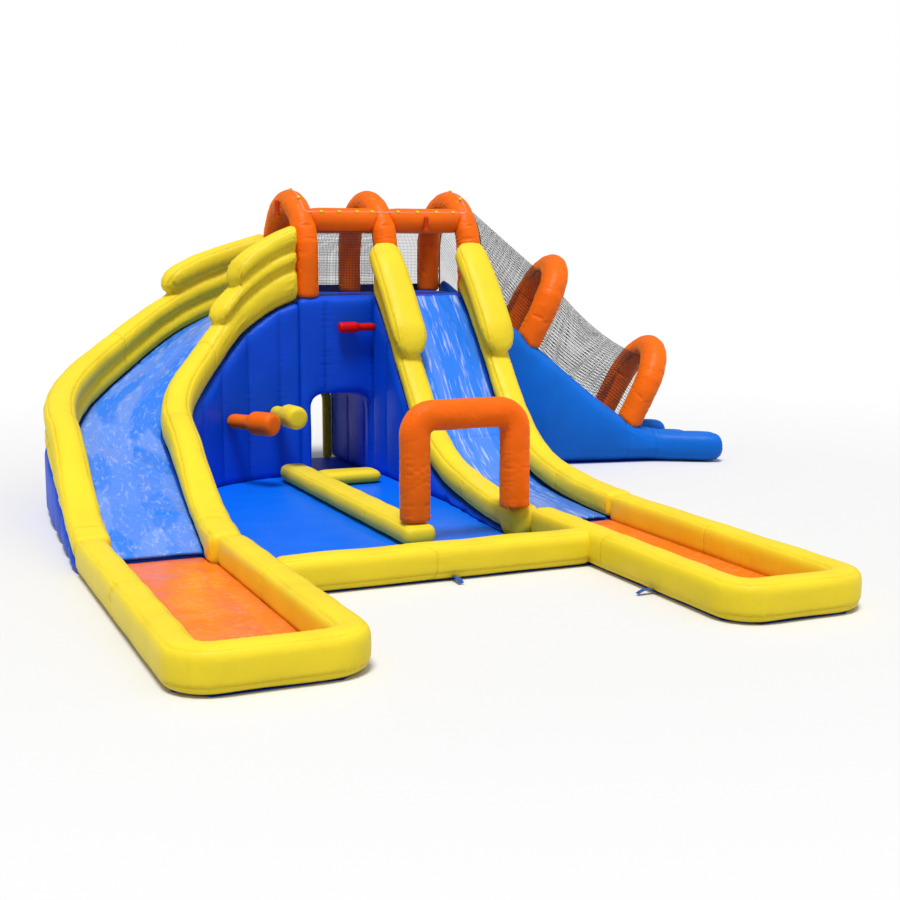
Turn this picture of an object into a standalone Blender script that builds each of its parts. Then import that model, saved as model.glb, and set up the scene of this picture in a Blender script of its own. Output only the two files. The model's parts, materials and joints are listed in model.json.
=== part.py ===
"""Inflatable water park: a curved slide and a straight slide run from one tower into two splash pools,
with a play court between them, a crawl tunnel under the tower, a climbing ramp under netting and the blower
that keeps it full.

Plan coordinates: x runs right from the left edge, y back from the front edge of the pools, z up from the
ground. The empty called site moves the plan so that the middle of its box stands over the origin. Lengths
are in metres.
"""

import math

import bmesh
import bpy
from mathutils import Matrix, Vector

# Sewn fabric
SEAM_GAP = 0.003
SKIN = 0.02
FACET = 0.18
GROUND_SHEET = 0.004
BASE = GROUND_SHEET + SEAM_GAP
NET_THICKNESS = 0.006

# Splash pools and front bumper
LEFT_POOL_WIDTH = 1.03
RIGHT_POOL_WIDTH = 0.96
COURT_WIDTH = 1.97
POOL_REACH = 1.58
POOL_LENGTH = 2.64
POOL_WALL_WIDTH = 0.20
POOL_WALL_HEIGHT = 0.235
POOL_CORNER_RADIUS = 0.15
POOL_FLOOR_TOP = 0.055
BUMPER_WIDTH = 0.22
BUMPER_HEIGHT = 0.225

# Play court
COURT_FLOOR_TOP = 0.042
DIVIDER_WIDTH = 0.24
DIVIDER_HEIGHT = 0.195
DIVIDER_OFFSET = 1.15
DIVIDER_FRONT = 2.33
DIVIDER_BACK = 5.19
STEP_FRONT = 4.73
STEP_BACK = 5.00
STEP_HEIGHT = 0.155
STEP_RIGHT = 2.83
GATE_WIDTH = 0.175
GATE_DEPTH = 0.20
GATE_LEFT = 2.18
GATE_RIGHT = 2.91
GATE_HEIGHT = 0.985
GATE_BEND = 0.12
GATE_SETBACK = 2.46

# Tower
TOWER_LEFT = 2.32
TOWER_WIDTH = 1.73
DECK_TOP = 1.56
DECK_THICKNESS = 0.042
TUNNEL_LEFT = 2.42
TUNNEL_WIDTH = 0.55
TUNNEL_HEIGHT = 0.73
TUNNEL_CORNER = 0.12
TUNNEL_RIM_TUBE = 0.045
ARCH_POSITIONS = {"left": 2.43, "middle": 3.15, "right": 3.94}
ARCH_TUBE = 0.10
ARCH_TOP = 2.46
ARCH_INSET = 0.11
CROSSBAR_TUBE = 0.09
CROSSBAR_HEIGHT = 2.20

# Curved slide
CURVE_INNER_RADIUS = 1.04
CURVE_OUTER_RADIUS = 2.20
CURVE_OUTER_REACH = 2.115
CURVE_DEPTH = 4.33
CURVED_WALL_WIDTH = 0.225
LANE_THICKNESS = 0.022
CURVED_DROP = (
    (0.0, 1.555), (0.39, 1.42), (0.72, 1.27), (1.36, 0.90), (2.0, 0.66), (2.66, 0.48), (3.5, 0.27),
    (4.34, 0.085),
)
CURVED_RAIL_HEIGHT = 0.28
CURVED_STEP_HEIGHT = 0.13
CURVED_CHEEK_HEIGHT = 0.20
CURVED_STEP_END = 1.06
INNER_CHEEK_END = 0.80
OUTER_CHEEK_END = 0.82
OUTER_LOWER_HEIGHT = 0.14
OUTER_LOWER_REACH = 0.45
OUTER_WALL_HEIGHT = 0.335
OUTER_CHEEK_HEIGHT = 0.22
OUTER_LOWER_TAPER = 1.8
CURVED_RAIL_DOME = 0.05
CURVED_STEP_DOME = 0.10
INNER_CHEEK_DOME = 0.12
OUTER_CHEEK_DOME = 0.14
RAIL_NOSE = 0.22

# Straight slide
STRAIGHT_DROP = (
    (0.0, 1.555), (0.25, 1.31), (0.74, 0.70), (1.0, 0.42), (1.35, 0.205), (1.75, 0.125), (2.73, 0.085),
)
STRAIGHT_WALL_WIDTH = 0.22
STRAIGHT_RAIL_HEIGHT = 0.235
STRAIGHT_CHEEK_HEIGHT = 0.25
STRAIGHT_CHEEK_END = 0.66
STRAIGHT_CHEEK_OVERHANG = 0.038
STRAIGHT_CHEEK_DOME = 0.09
STRAIGHT_RAIL_DOME = 0.07
STRAIGHT_LEFT = 2.985
STRAIGHT_RIGHT = 4.012
STRAIGHT_FOOT_LEFT = 2.895

# Climbing ramp
RAMP_TURN = math.radians(12)
RAMP_WIDTH = 1.05
RAMP_WALL_WIDTH = 0.27
RAMP_CREST = (
    (-0.32, 1.765), (0.0, 1.50), (0.27, 1.27), (0.69, 0.92), (1.07, 0.60), (1.25, 0.465), (1.48, 0.335),
    (1.75, 0.28), (2.3, 0.265),
)
RAMP_REACH = 2.25
RAMP_FAR_REACH = 2.05
RAMP_SET_BACK = 0.32
RAMP_FLARE = 0.18
RAMP_DECK_DROP = 0.21
RAMP_DECK_END = 1.24
RAMP_ARCH_TUBE = 0.10
RAMP_ARCH_REACH = 0.72
RAMP_ARCH_LEAN = math.radians(27)
RAMP_ARCH_INSET = 0.12
RAMP_ARCH_FEET = {"upper": 0.43, "lower": 1.40}
RAMP_RUNGS = 5
RAMP_RUNG_RISE = 0.045
RAMP_PAD = 0.07
LANDING_HEIGHT = 0.20

# Pegs: neck radius, head radius, neck length, head length
BIG_PEG = (0.062, 0.098, 0.19, 0.25)
SMALL_PEG = (0.034, 0.047, 0.13, 0.17)
PEG_CLEARANCE = 0.004

# Water line
HOSE_RADIUS = 0.006
NOZZLE_RADIUS = 0.022

# Blower
BLOWER_X = 3.52
BLOWER_STANDOFF = 0.52
BLOWER_AXIS_HEIGHT = 0.215
BLOWER_HALF_WIDTH = 0.075
BLOWER_WALL = 0.005
VOLUTE_START = 0.115
VOLUTE_GROWTH = 0.055
DUCT_HEIGHT = 0.115
DUCT_REACH = 0.27
IMPELLER_RADIUS = 0.085
IMPELLER_LENGTH = 0.10
IMPELLER_BLADES = 18
SHAFT_RADIUS = 0.006
SHAFT_CLEARANCE = 0.00009
INTAKE_RADIUS = 0.062
MOTOR_RADIUS = 0.055
MOTOR_LENGTH = 0.095
ROCKER_SIZE = (0.018, 0.028, 0.012)

# Values worked out from the sizes above
CURVE_X = TOWER_LEFT - 0.11
TOWER_FRONT = CURVE_DEPTH + CURVE_INNER_RADIUS
TOWER_BACK = CURVE_DEPTH + CURVE_OUTER_RADIUS
TOWER_RIGHT = TOWER_LEFT + TOWER_WIDTH
TOWER_DEPTH = TOWER_BACK - TOWER_FRONT
RIGHT_POOL_LEFT = LEFT_POOL_WIDTH + COURT_WIDTH
RIGHT_POOL_RIGHT = RIGHT_POOL_LEFT + RIGHT_POOL_WIDTH
CURVE_MIDDLE_RADIUS = (CURVE_INNER_RADIUS + CURVE_OUTER_RADIUS) / 2
RUN_IN = TOWER_LEFT - CURVE_X
CURVE_ARC = CURVE_MIDDLE_RADIUS * math.pi / 2
CURVE_RUN_OUT = CURVE_DEPTH - POOL_LENGTH
CURVED_LENGTH = RUN_IN + CURVE_ARC + CURVE_RUN_OUT
STRAIGHT_LENGTH = TOWER_FRONT - POOL_LENGTH
ARCH_RADIUS = (TOWER_DEPTH - 2 * ARCH_INSET) / 2
ARCH_MIDDLE_Y = (TOWER_FRONT + TOWER_BACK) / 2
ARCH_SPRING = ARCH_TOP - ARCH_TUBE - ARCH_RADIUS
CROSSBAR_SET_IN = math.sqrt(ARCH_RADIUS**2 - (CROSSBAR_HEIGHT - ARCH_SPRING) ** 2)
RAMP_ALONG = Vector((math.cos(RAMP_TURN), -math.sin(RAMP_TURN)))
RAMP_ACROSS = Vector((math.sin(RAMP_TURN), math.cos(RAMP_TURN)))
RAMP_CORNER = Vector((TOWER_RIGHT + SEAM_GAP, TOWER_FRONT))
SEAT = 1.5 * SEAM_GAP
BLOWER_Y = TOWER_BACK + BLOWER_STANDOFF
PLAN_WIDTH = (RAMP_CORNER + RAMP_FAR_REACH * RAMP_ALONG + RAMP_WIDTH * RAMP_ACROSS).x
PLAN_DEPTH = BLOWER_Y + VOLUTE_START + VOLUTE_GROWTH

YELLOW = "yellow_fabric"
ORANGE = "orange_fabric"
BLUE = "blue_fabric"
LANE_BLUE = "slick_blue_fabric"
POOL_ORANGE = "orange_floor"
RED = "red_fabric"
NET = "black_netting"
HOSE = "clear_hose"
BLOWER_SHELL = "blower_plastic"
BLOWER_METAL = "steel"
FINISHES = {
    YELLOW: ((0.93, 0.72, 0.03), 0.42, 0.0),
    ORANGE: ((1.0, 0.14, 0.01), 0.42, 0.0),
    BLUE: ((0.01, 0.07, 0.68), 0.42, 0.0),
    LANE_BLUE: ((0.04, 0.26, 0.95), 0.25, 0.0),
    POOL_ORANGE: ((1.0, 0.26, 0.05), 0.35, 0.0),
    RED: ((0.70, 0.01, 0.01), 0.42, 0.0),
    NET: ((0.02, 0.02, 0.022), 0.7, 0.0),
    HOSE: ((0.75, 0.78, 0.80), 0.15, 0.0),
    BLOWER_SHELL: ((0.03, 0.03, 0.035), 0.5, 0.0),
    BLOWER_METAL: ((0.55, 0.56, 0.57), 0.35, 1.0),
}


def clear_scene():
    for item in list(bpy.data.objects):
        bpy.data.objects.remove(item, do_unlink=True)


def new_collection(name, hidden=False):
    collection = bpy.data.collections.new(name)
    bpy.context.scene.collection.children.link(collection)
    collection.hide_render = hidden
    return collection


clear_scene()
PARK = new_collection("water_park")
CUTTERS = new_collection("cutters", hidden=True)
SITE = bpy.data.objects.new("site", None)
SITE.location = (-PLAN_WIDTH / 2, -PLAN_DEPTH / 2, 0)
PARK.objects.link(SITE)


def finish_material(finish, piece):
    colour, roughness, metallic = FINISHES[finish]
    material = bpy.data.materials.new(piece + "_" + finish)
    material.use_nodes = True
    shader = material.node_tree.nodes["Principled BSDF"]
    shader.inputs["Base Color"].default_value = (*colour, 1)
    shader.inputs["Roughness"].default_value = roughness
    shader.inputs["Metallic"].default_value = metallic
    return material


def place(name, data, finish, matrix=None):
    """Adds an object for this mesh or curve under the site empty, or as a cutter when it has no finish."""
    item = bpy.data.objects.new(name, data)
    item.parent = SITE
    if matrix is not None:
        item.matrix_local = matrix
    if finish is None:
        CUTTERS.objects.link(item)
        item.hide_render = True
        item.display_type = "WIRE"
        return item
    PARK.objects.link(item)
    data.materials.append(finish_material(finish, name))
    if isinstance(data, bpy.types.Mesh):
        data.shade_smooth()
        data.set_sharp_from_angle(angle=math.radians(50))
    return item


def bmesh_object(name, form, finish, matrix=None):
    bmesh.ops.recalc_face_normals(form, faces=form.faces)
    data = bpy.data.meshes.new(name)
    form.to_mesh(data)
    form.free()
    return place(name, data, finish, matrix)


def as_mesh(item, finish):
    """A mesh object in place of a curve, its caps welded to its sides, so that a Boolean can read it."""
    bpy.context.view_layer.update()
    graph = bpy.context.evaluated_depsgraph_get()
    data = bpy.data.meshes.new_from_object(item.evaluated_get(graph))
    form = bmesh.new()
    form.from_mesh(data)
    bmesh.ops.remove_doubles(form, verts=form.verts, dist=0.0001)
    name = item.name
    matrix = item.matrix_local.copy()
    bpy.data.objects.remove(item, do_unlink=True)
    return bmesh_object(name, form, finish, matrix)


def boolean(item, other, operation="DIFFERENCE"):
    modifier = item.modifiers.new(other.name, "BOOLEAN")
    modifier.operation = operation
    modifier.object = other
    modifier.solver = "EXACT"


def smooth_curve(knots, position):
    """Height at a position along a smooth line through (position, height) knots."""
    if position <= knots[0][0]:
        return knots[0][1]
    if position >= knots[-1][0]:
        return knots[-1][1]
    slopes = []
    for i in range(len(knots)):
        before = knots[max(i - 1, 0)]
        after = knots[min(i + 1, len(knots) - 1)]
        slopes.append((after[1] - before[1]) / (after[0] - before[0]))
    for i in range(len(knots) - 1):
        (start, low), (end, high) = knots[i], knots[i + 1]
        if position <= end:
            span = end - start
            f = (position - start) / span
            rise = (2 * f**3 - 3 * f**2 + 1) * low + (3 * f**2 - 2 * f**3) * high
            return rise + span * ((f**3 - 2 * f**2 + f) * slopes[i] + (f**3 - f**2) * slopes[i + 1])


def blend(start, end, share):
    return start + (end - start) * share


def fade(position, start, end):
    """0 up to start, 1 from end on, and a smooth change between them."""
    share = min(max((position - start) / (end - start), 0), 1)
    return share * share * (3 - 2 * share)


def rounded_box(left, right, bottom, top, corner, steps=3):
    """Section points of a box with round corners, counter-clockwise from its lower right corner."""
    corner = min(corner, 0.499 * (right - left), 0.499 * (top - bottom))
    centres = (
        (right - corner, bottom + corner, -90),
        (right - corner, top - corner, 0),
        (left + corner, top - corner, 90),
        (left + corner, bottom + corner, 180),
    )
    points = []
    for across, height, first in centres:
        for i in range(steps + 1):
            angle = math.radians(first + 90 * i / steps)
            points.append((across + corner * math.cos(angle), height + corner * math.sin(angle)))
    return points


def poly_curve(name, points, finish, closed=False, smooth=True):
    data = bpy.data.curves.new(name, "CURVE")
    data.dimensions = "3D"
    spline = data.splines.new("POLY")
    spline.points.add(len(points) - 1)
    for target, point in zip(spline.points, points):
        target.co = (*point, 1)
    spline.use_cyclic_u = closed
    spline.use_smooth = smooth
    return place(name, data, finish)


def tube(name, points, radius, finish, sides=12, ends=None):
    """A tube along the points. ends gives the first and last radii as shares, for domed ends."""
    item = poly_curve(name, points, finish)
    item.data.bevel_depth = radius
    item.data.bevel_resolution = sides // 2 - 2
    item.data.use_fill_caps = True
    item.data.twist_mode = "MINIMUM"
    if ends:
        count = len(points)
        for i, share in enumerate(ends[0]):
            item.data.splines[0].points[i].radius = share
        for i, share in enumerate(ends[1]):
            item.data.splines[0].points[count - 1 - i].radius = share
    return item


def sweep(name, points, section, finish):
    """A constant section, given as (across, up) points, swept along a path that keeps its up side up."""
    item = poly_curve(name, points, finish)
    outline = [(across, up, 0) for across, up in reversed(section)]
    guide = poly_curve(name + "_section", outline, None, closed=True)
    guide.data.dimensions = "2D"
    item.data.bevel_mode = "OBJECT"
    item.data.bevel_object = guide
    item.data.use_fill_caps = True
    item.data.twist_mode = "Z_UP"
    return item


def slab(name, outline, bottom, top, finish):
    """A flat sheet with this outline in plan."""
    data = bpy.data.curves.new(name, "CURVE")
    data.dimensions = "2D"
    data.fill_mode = "BOTH"
    data.extrude = (top - bottom) / 2
    spline = data.splines.new("POLY")
    spline.points.add(len(outline) - 1)
    for target, (x, y) in zip(spline.points, outline):
        target.co = (x, y, 0, 1)
    spline.use_cyclic_u = True
    return place(name, data, finish, Matrix.Translation((0, 0, (top + bottom) / 2)))


def skin_rows(form, rings, closed):
    """Triangles between rings of equal numbers of points. Like rings give like diagonals, so skins nest."""
    rows = [[form.verts.new(point) for point in ring] for ring in rings]
    for row, following in zip(rows, rows[1:]):
        for i in range(len(row) if closed else len(row) - 1):
            j = (i + 1) % len(row)
            form.faces.new((row[i], row[j], following[j]))
            form.faces.new((row[i], following[j], following[i]))
    return rows


def loft(name, rings, finish):
    """A closed body through rings, with flat ends."""
    form = bmesh.new()
    rows = skin_rows(form, rings, True)
    form.faces.new(rows[0])
    form.faces.new(rows[-1])
    return bmesh_object(name, form, finish)


def block(name, low, high, finish, rounding=0.0):
    """A box between two corners, its edges rounded."""
    form = bmesh.new()
    bmesh.ops.create_cube(form, size=1)
    size = Vector(high) - Vector(low)
    middle = (Vector(high) + Vector(low)) / 2
    bmesh.ops.scale(form, vec=size, verts=form.verts)
    bmesh.ops.translate(form, vec=middle, verts=form.verts)
    item = bmesh_object(name, form, finish)
    if rounding:
        modifier = item.modifiers.new("rounding", "BEVEL")
        modifier.width = rounding
        modifier.segments = 3
        modifier.limit_method = "ANGLE"
    return item


def turned(name, profile, finish, matrix, steps=24):
    """A body of revolution about its own z, from (radius, height) points that run from top to bottom."""
    data = bpy.data.meshes.new(name)
    points = [(radius, 0, height) for radius, height in profile]
    data.from_pydata(points, [(i, i + 1) for i in range(len(points) - 1)], [])
    item = place(name, data, finish, matrix)
    modifier = item.modifiers.new("turn", "SCREW")
    modifier.steps = steps
    modifier.render_steps = steps
    modifier.use_merge_vertices = True
    modifier.merge_threshold = 0.0001
    modifier.use_smooth_shade = True
    return item


def cylinder(name, radius, start, end, finish, sides=24):
    form = bmesh.new()
    start, end = Vector(start), Vector(end)
    length = (end - start).length
    turn = (end - start).to_track_quat("Z", "Y").to_matrix().to_4x4()
    matrix = Matrix.Translation((start + end) / 2) @ turn
    bmesh.ops.create_cone(
        form, cap_ends=True, segments=sides, radius1=radius, radius2=radius, depth=length, matrix=matrix
    )
    return bmesh_object(name, form, finish)


class Route:
    """Two side faces in plan and the height of the top between them, in equal facets along a length.

    Pieces that lie on one another along a route share its facets, so their gap stays even.
    """

    def __init__(self, sides, top, length):
        self.length = length
        self.count = round(length / FACET)
        self.step = length / self.count
        marks = [i * self.step for i in range(self.count + 1)]
        self.sides = [sides(mark) for mark in marks]
        self.tops = [top(mark) for mark in marks]

    def facet(self, distance):
        i = min(max(math.floor(distance / self.step), 0), self.count - 1)
        return i, distance / self.step - i

    def edges(self, distance):
        i, share = self.facet(distance)
        (a, b), (c, d) = self.sides[i], self.sides[i + 1]
        return a + (c - a) * share, b + (d - b) * share

    def top(self, distance):
        i, share = self.facet(distance)
        return blend(self.tops[i], self.tops[i + 1], share)

    def width(self, distance):
        first, second = self.edges(distance)
        return (second - first).length

    def point(self, distance, across, height):
        """A point in space, measured across from the first side."""
        first, second = self.edges(distance)
        x, y = first + (second - first).normalized() * across
        return Vector((x, y, height))

    def stations(self, start, end, dome_start=0.0, dome_end=0.0):
        """(distance, share of the full section) pairs from start to end, closer together in a domed end."""
        places = {start: 1.0, end: 1.0}
        for i in range(self.count + 1):
            mark = i * self.step
            if start + 0.02 < mark < end - 0.02:
                places[mark] = 1.0
        if dome_start:
            places = {mark: share for mark, share in places.items() if mark >= start + dome_start}
            for i in range(4):
                angle = math.pi / 2 * (i + 0.35) / 4
                places[start + dome_start * (1 - math.cos(angle))] = math.sin(angle)
        if dome_end:
            places = {mark: share for mark, share in places.items() if mark <= end - dome_end}
            for i in range(4):
                angle = math.pi / 2 * (i + 0.35) / 4
                places[end - dome_end * (1 - math.cos(angle))] = math.sin(angle)
        return sorted(places.items())


def curved_sides(distance):
    """Court side and outer side of the curved slide."""
    if distance < RUN_IN:
        x = TOWER_LEFT - SEAM_GAP - distance * (RUN_IN - SEAM_GAP) / RUN_IN
        return Vector((x, TOWER_FRONT)), Vector((x, TOWER_BACK))
    if distance < RUN_IN + CURVE_ARC:
        angle = (distance - RUN_IN) / CURVE_MIDDLE_RADIUS
        outward = Vector((-math.sin(angle), math.cos(angle)))
        centre = Vector((CURVE_X, CURVE_DEPTH))
        reach = Vector((CURVE_OUTER_REACH, CURVE_OUTER_RADIUS))
        return centre + CURVE_INNER_RADIUS * outward, centre + reach * outward
    share = (distance - RUN_IN - CURVE_ARC) / CURVE_RUN_OUT
    y = CURVE_DEPTH - share * CURVE_RUN_OUT
    inner = blend(CURVE_X - CURVE_INNER_RADIUS, LEFT_POOL_WIDTH, share)
    outer = blend(CURVE_X - CURVE_OUTER_REACH, 0, share)
    return Vector((inner, y)), Vector((outer, y))


def straight_sides(distance):
    y = TOWER_FRONT - SEAM_GAP - distance
    left = blend(STRAIGHT_LEFT, STRAIGHT_FOOT_LEFT, fade(distance, 1.5, STRAIGHT_LENGTH))
    right = blend(STRAIGHT_RIGHT, RIGHT_POOL_RIGHT, fade(distance, 0.9, STRAIGHT_LENGTH))
    return Vector((left, y)), Vector((right, y))


def ramp_sides(distance):
    """Near and far side of the climbing ramp. The near one flares out at the foot."""
    along = RAMP_CORNER + RAMP_ALONG * (distance - RAMP_SET_BACK)
    flare = RAMP_FLARE * fade(distance - RAMP_SET_BACK, 1.5, RAMP_REACH)
    return along - RAMP_ACROSS * flare, along + RAMP_ACROSS * RAMP_WIDTH


def ramp_crest(distance):
    """Height of the ramp's side walls."""
    return smooth_curve(RAMP_CREST, distance - RAMP_SET_BACK)


CURVED = Route(curved_sides, lambda distance: smooth_curve(CURVED_DROP, distance), CURVED_LENGTH)
STRAIGHT = Route(straight_sides, lambda distance: smooth_curve(STRAIGHT_DROP, distance), STRAIGHT_LENGTH)
RAMP = Route(ramp_sides, ramp_crest, RAMP_SET_BACK + RAMP_REACH)


def wall(name, route, start, end, side, width, bottom, top, finish, inset=0.0, marks=(), **domes):
    """An inflated wall on a route. side 0 stands on the route's first face, 1 on its second."""
    rings = []
    places = dict(route.stations(start, end, **domes))
    places.update((mark, 1.0) for mark in marks)
    for distance, share in sorted(places.items()):
        low = bottom(distance)
        high = top(distance)
        span = route.width(distance)
        reach = width(distance) if callable(width) else width
        left, right = (inset, inset + reach) if side == 0 else (span - inset - reach, span - inset)
        middle = (left + right) / 2
        centre = (low + high) / 2
        roundness = blend(0.45, 0.25, fade(distance, route.length - 1.3, route.length))
        ring = []
        for across, up in rounded_box(left, right, low, high, roundness * min(right - left, high - low)):
            height = centre + (up - centre) * share
            ring.append(route.point(distance, middle + (across - middle) * share, height))
        rings.append(ring)
    return loft(name, rings, finish)


def chamber(name, route, start, end, top, wall_width, finish, inset=0.0, edge=0.05):
    """The hollow body under a slide: side, top and end panels of fabric, open to the ground sheet."""
    form = bmesh.new()
    rings = []
    for distance, _ in route.stations(start, end):
        left = inset
        right = route.width(distance) - inset
        high = top(distance)
        bend = min(edge, 0.4 * (high - BASE))
        section = (
            (left, BASE),
            (left, high - bend),
            (left + 0.3 * bend, high - 0.3 * bend),
            (left + bend, high),
            (left + wall_width + SEAM_GAP, high),
            ((left + right) / 2, high),
            (right - wall_width - SEAM_GAP, high),
            (right - bend, high),
            (right - 0.3 * bend, high - 0.3 * bend),
            (right, high - bend),
            (right, BASE),
        )
        rings.append([route.point(distance, across, up) for across, up in section])
    rows = skin_rows(form, rings, False)
    form.faces.new(rows[0])
    form.faces.new(rows[-1])
    item = bmesh_object(name, form, finish)
    if item.data.polygons[6].normal.z < 0:
        item.data.flip_normals()
    modifier = item.modifiers.new("skin", "SOLIDIFY")
    modifier.thickness = SKIN
    modifier.offset = -1
    modifier.use_even_offset = True
    return item


def lane(name, route, start, end, wall_width, finish):
    """The slick sheet that people slide on, between two walls."""
    rings = []
    for distance, _ in route.stations(start, end):
        left = wall_width + SEAM_GAP
        right = route.width(distance) - wall_width - SEAM_GAP
        high = route.top(distance)
        low = high - LANE_THICKNESS
        middle = (left + right) / 2
        dip = high - 0.006
        section = ((left, low), (middle, low), (right, low), (right, high), (middle, dip), (left, high))
        rings.append([route.point(distance, across, up) for across, up in section])
    return loft(name, rings, finish)


def curved_body_top(distance):
    return CURVED.top(distance) - LANE_THICKNESS - SEAM_GAP


def straight_body_top(distance):
    return STRAIGHT.top(distance) - LANE_THICKNESS - SEAM_GAP


def rail_above(body_top, route, height):
    """The top of a slide's wall, which comes down to the pool wall's where the slide runs out."""

    def at(distance):
        full = body_top(distance) + SEAT + height
        return blend(full, POOL_WALL_HEIGHT, fade(distance, route.length - 1.5, route.length))

    return at


def rail_below(body_top, route):
    """The underside of a slide's wall, which drops to the ground in front of the slide's body."""

    def at(distance):
        return body_top(distance) + SEAT if distance < route.length + 0.001 else BASE

    return at


def stacked(under, height):
    """The bottom and top of a wall that lies on another."""

    def bottom(distance):
        return under(distance) + SEAT

    def top(distance):
        return under(distance) + SEAT + height

    return bottom, top


# Pieces


def pool_path(left, right, left_end, right_end):
    """Middle line of a pool's U-shaped wall, from its back left end round the front."""
    inset = POOL_WALL_WIDTH / 2
    bend = POOL_CORNER_RADIUS
    points = [(left + inset, left_end, 0)]
    for i in range(6):
        angle = math.radians(180 + 18 * i)
        centre = (left + inset + bend, inset + bend)
        points.append((centre[0] + bend * math.cos(angle), centre[1] + bend * math.sin(angle), 0))
    for i in range(6):
        angle = math.radians(270 + 18 * i)
        centre = (right - inset - bend, inset + bend)
        points.append((centre[0] + bend * math.cos(angle), centre[1] + bend * math.sin(angle), 0))
    points.append((right - inset, right_end, 0))
    return points


def splash_pool(side, left, right):
    half = POOL_WALL_WIDTH / 2
    section = rounded_box(-half, half, BASE, POOL_WALL_HEIGHT, 0.055)
    ends = [POOL_LENGTH - SEAM_GAP, POOL_LENGTH - RAIL_NOSE - 2 * SEAM_GAP]
    if side == "right":
        ends.reverse()
    sweep(side + "_pool_wall", pool_path(left, right, *ends), section, YELLOW)
    inner_left = left + POOL_WALL_WIDTH + SEAM_GAP
    inner_right = right - POOL_WALL_WIDTH - SEAM_GAP
    front = POOL_WALL_WIDTH + SEAM_GAP
    back = POOL_LENGTH - SEAM_GAP
    nose = POOL_LENGTH - RAIL_NOSE - SEAM_GAP
    bend = POOL_CORNER_RADIUS - half
    if side == "left":
        shy = LEFT_POOL_WIDTH - CURVED_WALL_WIDTH - 4 * SEAM_GAP
        outline = [(inner_right, nose), (shy, nose), (shy, back), (inner_left, back)]
    else:
        outline = [(inner_right, back), (inner_left, back)]
    for i in range(5):
        angle = math.radians(180 + 22.5 * i)
        outline.append((inner_left + bend + bend * math.cos(angle), front + bend + bend * math.sin(angle)))
    for i in range(5):
        angle = math.radians(270 + 22.5 * i)
        outline.append((inner_right - bend + bend * math.cos(angle), front + bend + bend * math.sin(angle)))
    slab(side + "_pool_floor", outline, BASE, POOL_FLOOR_TOP, POOL_ORANGE)


def front_bumper():
    half = BUMPER_WIDTH / 2
    section = rounded_box(-half, half, BASE, BUMPER_HEIGHT, 0.06)
    y = POOL_REACH + half
    ends = ((LEFT_POOL_WIDTH + SEAM_GAP, y, 0), (RIGHT_POOL_LEFT - SEAM_GAP, y, 0))
    sweep("front_bumper", ends, section, YELLOW)


def court_floor():
    left = LEFT_POOL_WIDTH + SEAM_GAP
    right = RIGHT_POOL_LEFT - SEAM_GAP
    nose = POOL_LENGTH - RAIL_NOSE - SEAM_GAP
    front = POOL_REACH + BUMPER_WIDTH + SEAM_GAP
    back = TOWER_FRONT - SEAM_GAP
    foot = STRAIGHT_FOOT_LEFT - SEAM_GAP
    outline = [(left, front), (right, front), (right, nose), (foot, nose)]
    for distance, _ in reversed(STRAIGHT.stations(0, STRAIGHT_LENGTH)):
        x, y = STRAIGHT.edges(distance)[0]
        outline.append((x - SEAM_GAP, min(y, back)))
    radius = CURVE_INNER_RADIUS - SEAM_GAP
    for i in range(13):
        angle = math.radians(90 + 7.5 * i)
        outline.append((CURVE_X + radius * math.cos(angle), CURVE_DEPTH + radius * math.sin(angle)))
    outline.append((left, POOL_LENGTH))
    slab("court_floor", outline, BASE, COURT_FLOOR_TOP, BLUE)


def court_beams():
    left = LEFT_POOL_WIDTH + DIVIDER_OFFSET - DIVIDER_WIDTH / 2
    right = left + DIVIDER_WIDTH
    floor = COURT_FLOOR_TOP + SEAM_GAP
    block("divider_beam", (left, DIVIDER_FRONT, floor), (right, DIVIDER_BACK, DIVIDER_HEIGHT), YELLOW, 0.06)
    block(
        "doorway_step",
        (right + SEAM_GAP, STEP_FRONT, floor),
        (STEP_RIGHT, STEP_BACK, STEP_HEIGHT),
        YELLOW,
        0.05,
    )


def gate():
    """Square-shouldered arch from the divider beam to the straight slide's rail."""
    top = GATE_HEIGHT - GATE_WIDTH / 2
    points = [(GATE_LEFT, GATE_SETBACK, DIVIDER_HEIGHT + SEAM_GAP)]
    for i in range(7):
        angle = math.radians(180 - 15 * i)
        x = GATE_LEFT + GATE_BEND * (1 + math.cos(angle))
        points.append((x, GATE_SETBACK, top - GATE_BEND * (1 - math.sin(angle))))
    for i in range(7):
        angle = math.radians(90 - 15 * i)
        x = GATE_RIGHT - GATE_BEND * (1 - math.cos(angle))
        points.append((x, GATE_SETBACK, top - GATE_BEND * (1 - math.sin(angle))))
    points.append((GATE_RIGHT, GATE_SETBACK, POOL_WALL_HEIGHT + SEAM_GAP))
    across = GATE_DEPTH / 2
    up = GATE_WIDTH / 2
    item = sweep("gate_arch", points, rounded_box(-across, across, -up, up, 0.065), ORANGE)
    item.data.twist_mode = "MINIMUM"


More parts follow.
